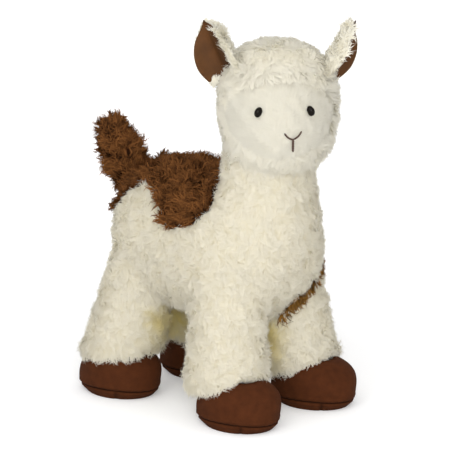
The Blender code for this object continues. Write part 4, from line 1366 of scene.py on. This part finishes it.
class LLAMA_OT_stage(bpy.types.Operator):
    """Pale floor, soft lamps, surrounding light and the camera"""

    bl_idname = "llama.stage"
    bl_label = "Stage"

    def execute(self, context):
        scene = context.scene
        stage = scene.llama_stage
        scene.view_settings.view_transform = "Standard"
        self.floor(scene)
        self.sky(scene, stage)
        level = math.cos(stage.elevation)
        right = Vector((math.cos(stage.azimuth), math.sin(stage.azimuth), 0.0))
        back = Vector((right.y * level, -right.x * level, math.sin(stage.elevation)))
        up = back.cross(right)
        lens = bpy.data.cameras.new("stage_camera")
        lens.lens = stage.lens
        camera = bpy.data.objects.new("stage_camera", lens)
        scene.collection.objects.link(camera)
        camera.location = STAGE_MIDDLE + back * stage.distance + right * CAMERA_RIGHT - up * CAMERA_DOWN
        camera.rotation_euler = back.to_track_quat("Z", "Y").to_euler()
        scene.camera = camera
        for name, power, place, size in (
            ("key_lamp", stage.key_power, back * 1.3 - right * 0.35 + Vector((0.0, 0.0, 0.55)), 1.2),
            ("fill_lamp", stage.fill_power, back * 1.8 + right * 0.10, 0.35),
        ):
            lamp = bpy.data.lights.new(name, "AREA")
            lamp.energy = power
            lamp.size = size
            holder = bpy.data.objects.new(name, lamp)
            scene.collection.objects.link(holder)
            holder.location = STAGE_MIDDLE + place
            holder.rotation_euler = place.to_track_quat("Z", "Y").to_euler()
        return {"FINISHED"}

    def floor(self, scene):
        """A wide pale disc that glows more and more, for the camera only, away from the toy."""
        turn = np.arange(FLOOR_COLUMNS) / FLOOR_COLUMNS * 2.0 * math.pi
        rim = np.stack([np.cos(turn), np.sin(turn), np.zeros(FLOOR_COLUMNS)], axis=1) * FLOOR_RADIUS
        mesh = new_mesh("stage_floor", rim, [np.arange(FLOOR_COLUMNS)[None, :]], {})
        floor = bpy.data.objects.new("stage_floor", mesh)
        scene.collection.objects.link(floor)
        finish = Finish("floor_paper", 0.95, Specular_IOR_Level=0.0)
        finish.mottle(6.0, 2.0, (0.90, 0.90, 0.90), (0.92, 0.92, 0.92))
        seen = finish.node("ShaderNodeLightPath", output="Is Camera Ray")
        far = finish.node("ShaderNodeVectorMath", {"operation": "LENGTH"}, {0: finish.places()}, "Value")
        glow = finish.node("ShaderNodeMapRange", {"interpolation_type": "SMOOTHSTEP"}, {
            "Value": far, "From Min": 0.15, "From Max": 0.80, "To Min": 0.20, "To Max": 0.60})
        finish.set("Emission Color", finish.mix(seen * glow, (0.0, 0.0, 0.0), (1.0, 1.0, 1.0)))
        finish.shader.inputs["Emission Strength"].default_value = 1.0
        mesh.materials.append(finish.material)

    def sky(self, scene, stage):
        """Even light from all round, which the camera sees as white."""
        world = bpy.data.worlds.new("stage_sky")
        world.use_nodes = True
        tree = world.node_tree
        background = tree.nodes["Background"]
        background.inputs["Color"].default_value = (1.0, 1.0, 1.0, 1.0)
        path = tree.nodes.new("ShaderNodeLightPath")
        mix = tree.nodes.new("ShaderNodeMix")
        mix.inputs["A"].default_value = stage.sky
        mix.inputs["B"].default_value = 1.0
        tree.links.new(path.outputs["Is Camera Ray"], mix.inputs["Factor"])
        tree.links.new(mix.outputs["Result"], background.inputs["Strength"])
        scene.world = world


OPERATORS = (
    LLAMA_OT_body,
    LLAMA_OT_legs,
    LLAMA_OT_brown,
    LLAMA_OT_head,
    LLAMA_OT_hooves,
    LLAMA_OT_ears,
    LLAMA_OT_eyes,
    LLAMA_OT_mouth,
    LLAMA_OT_inside,
    LLAMA_OT_stage,
)


class LLAMA_PT_looks(bpy.types.Panel):
    """Lists the sizes, the colours and the steps"""

    bl_label = "Plush llama"
    bl_idname = "LLAMA_PT_looks"
    bl_space_type = "VIEW_3D"
    bl_region_type = "UI"
    bl_category = "Llama"

    def draw(self, context):
        for group in (context.scene.llama_pile, context.scene.llama_colours, context.scene.llama_stage):
            box = self.layout.box()
            for label in group.bl_rna.properties.keys():
                if label not in ("rna_type", "name"):
                    box.prop(group, label)
        for operator in OPERATORS:
            self.layout.operator(operator.bl_idname)


GROUPS = {"llama_pile": PileSettings, "llama_colours": ColourSettings, "llama_stage": StageSettings}


def register():
    """Add the classes and the scene's settings."""
    for group in GROUPS.values():
        bpy.utils.register_class(group)
    for label, group in GROUPS.items():
        setattr(bpy.types.Scene, label, PointerProperty(type=group))
    for operator in OPERATORS:
        bpy.utils.register_class(operator)
    bpy.utils.register_class(LLAMA_PT_looks)


def unregister():
    """Take them away again."""
    bpy.utils.unregister_class(LLAMA_PT_looks)
    for operator in reversed(OPERATORS):
        bpy.utils.unregister_class(operator)
    for label, group in reversed(GROUPS.items()):
        delattr(bpy.types.Scene, label)
        bpy.utils.unregister_class(group)


def main():
    """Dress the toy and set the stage."""
    register()
    for operator in OPERATORS:
        family, step = operator.bl_idname.split(".")
        getattr(getattr(bpy.ops, family), step)()


if __name__ == "__main__":
    main()
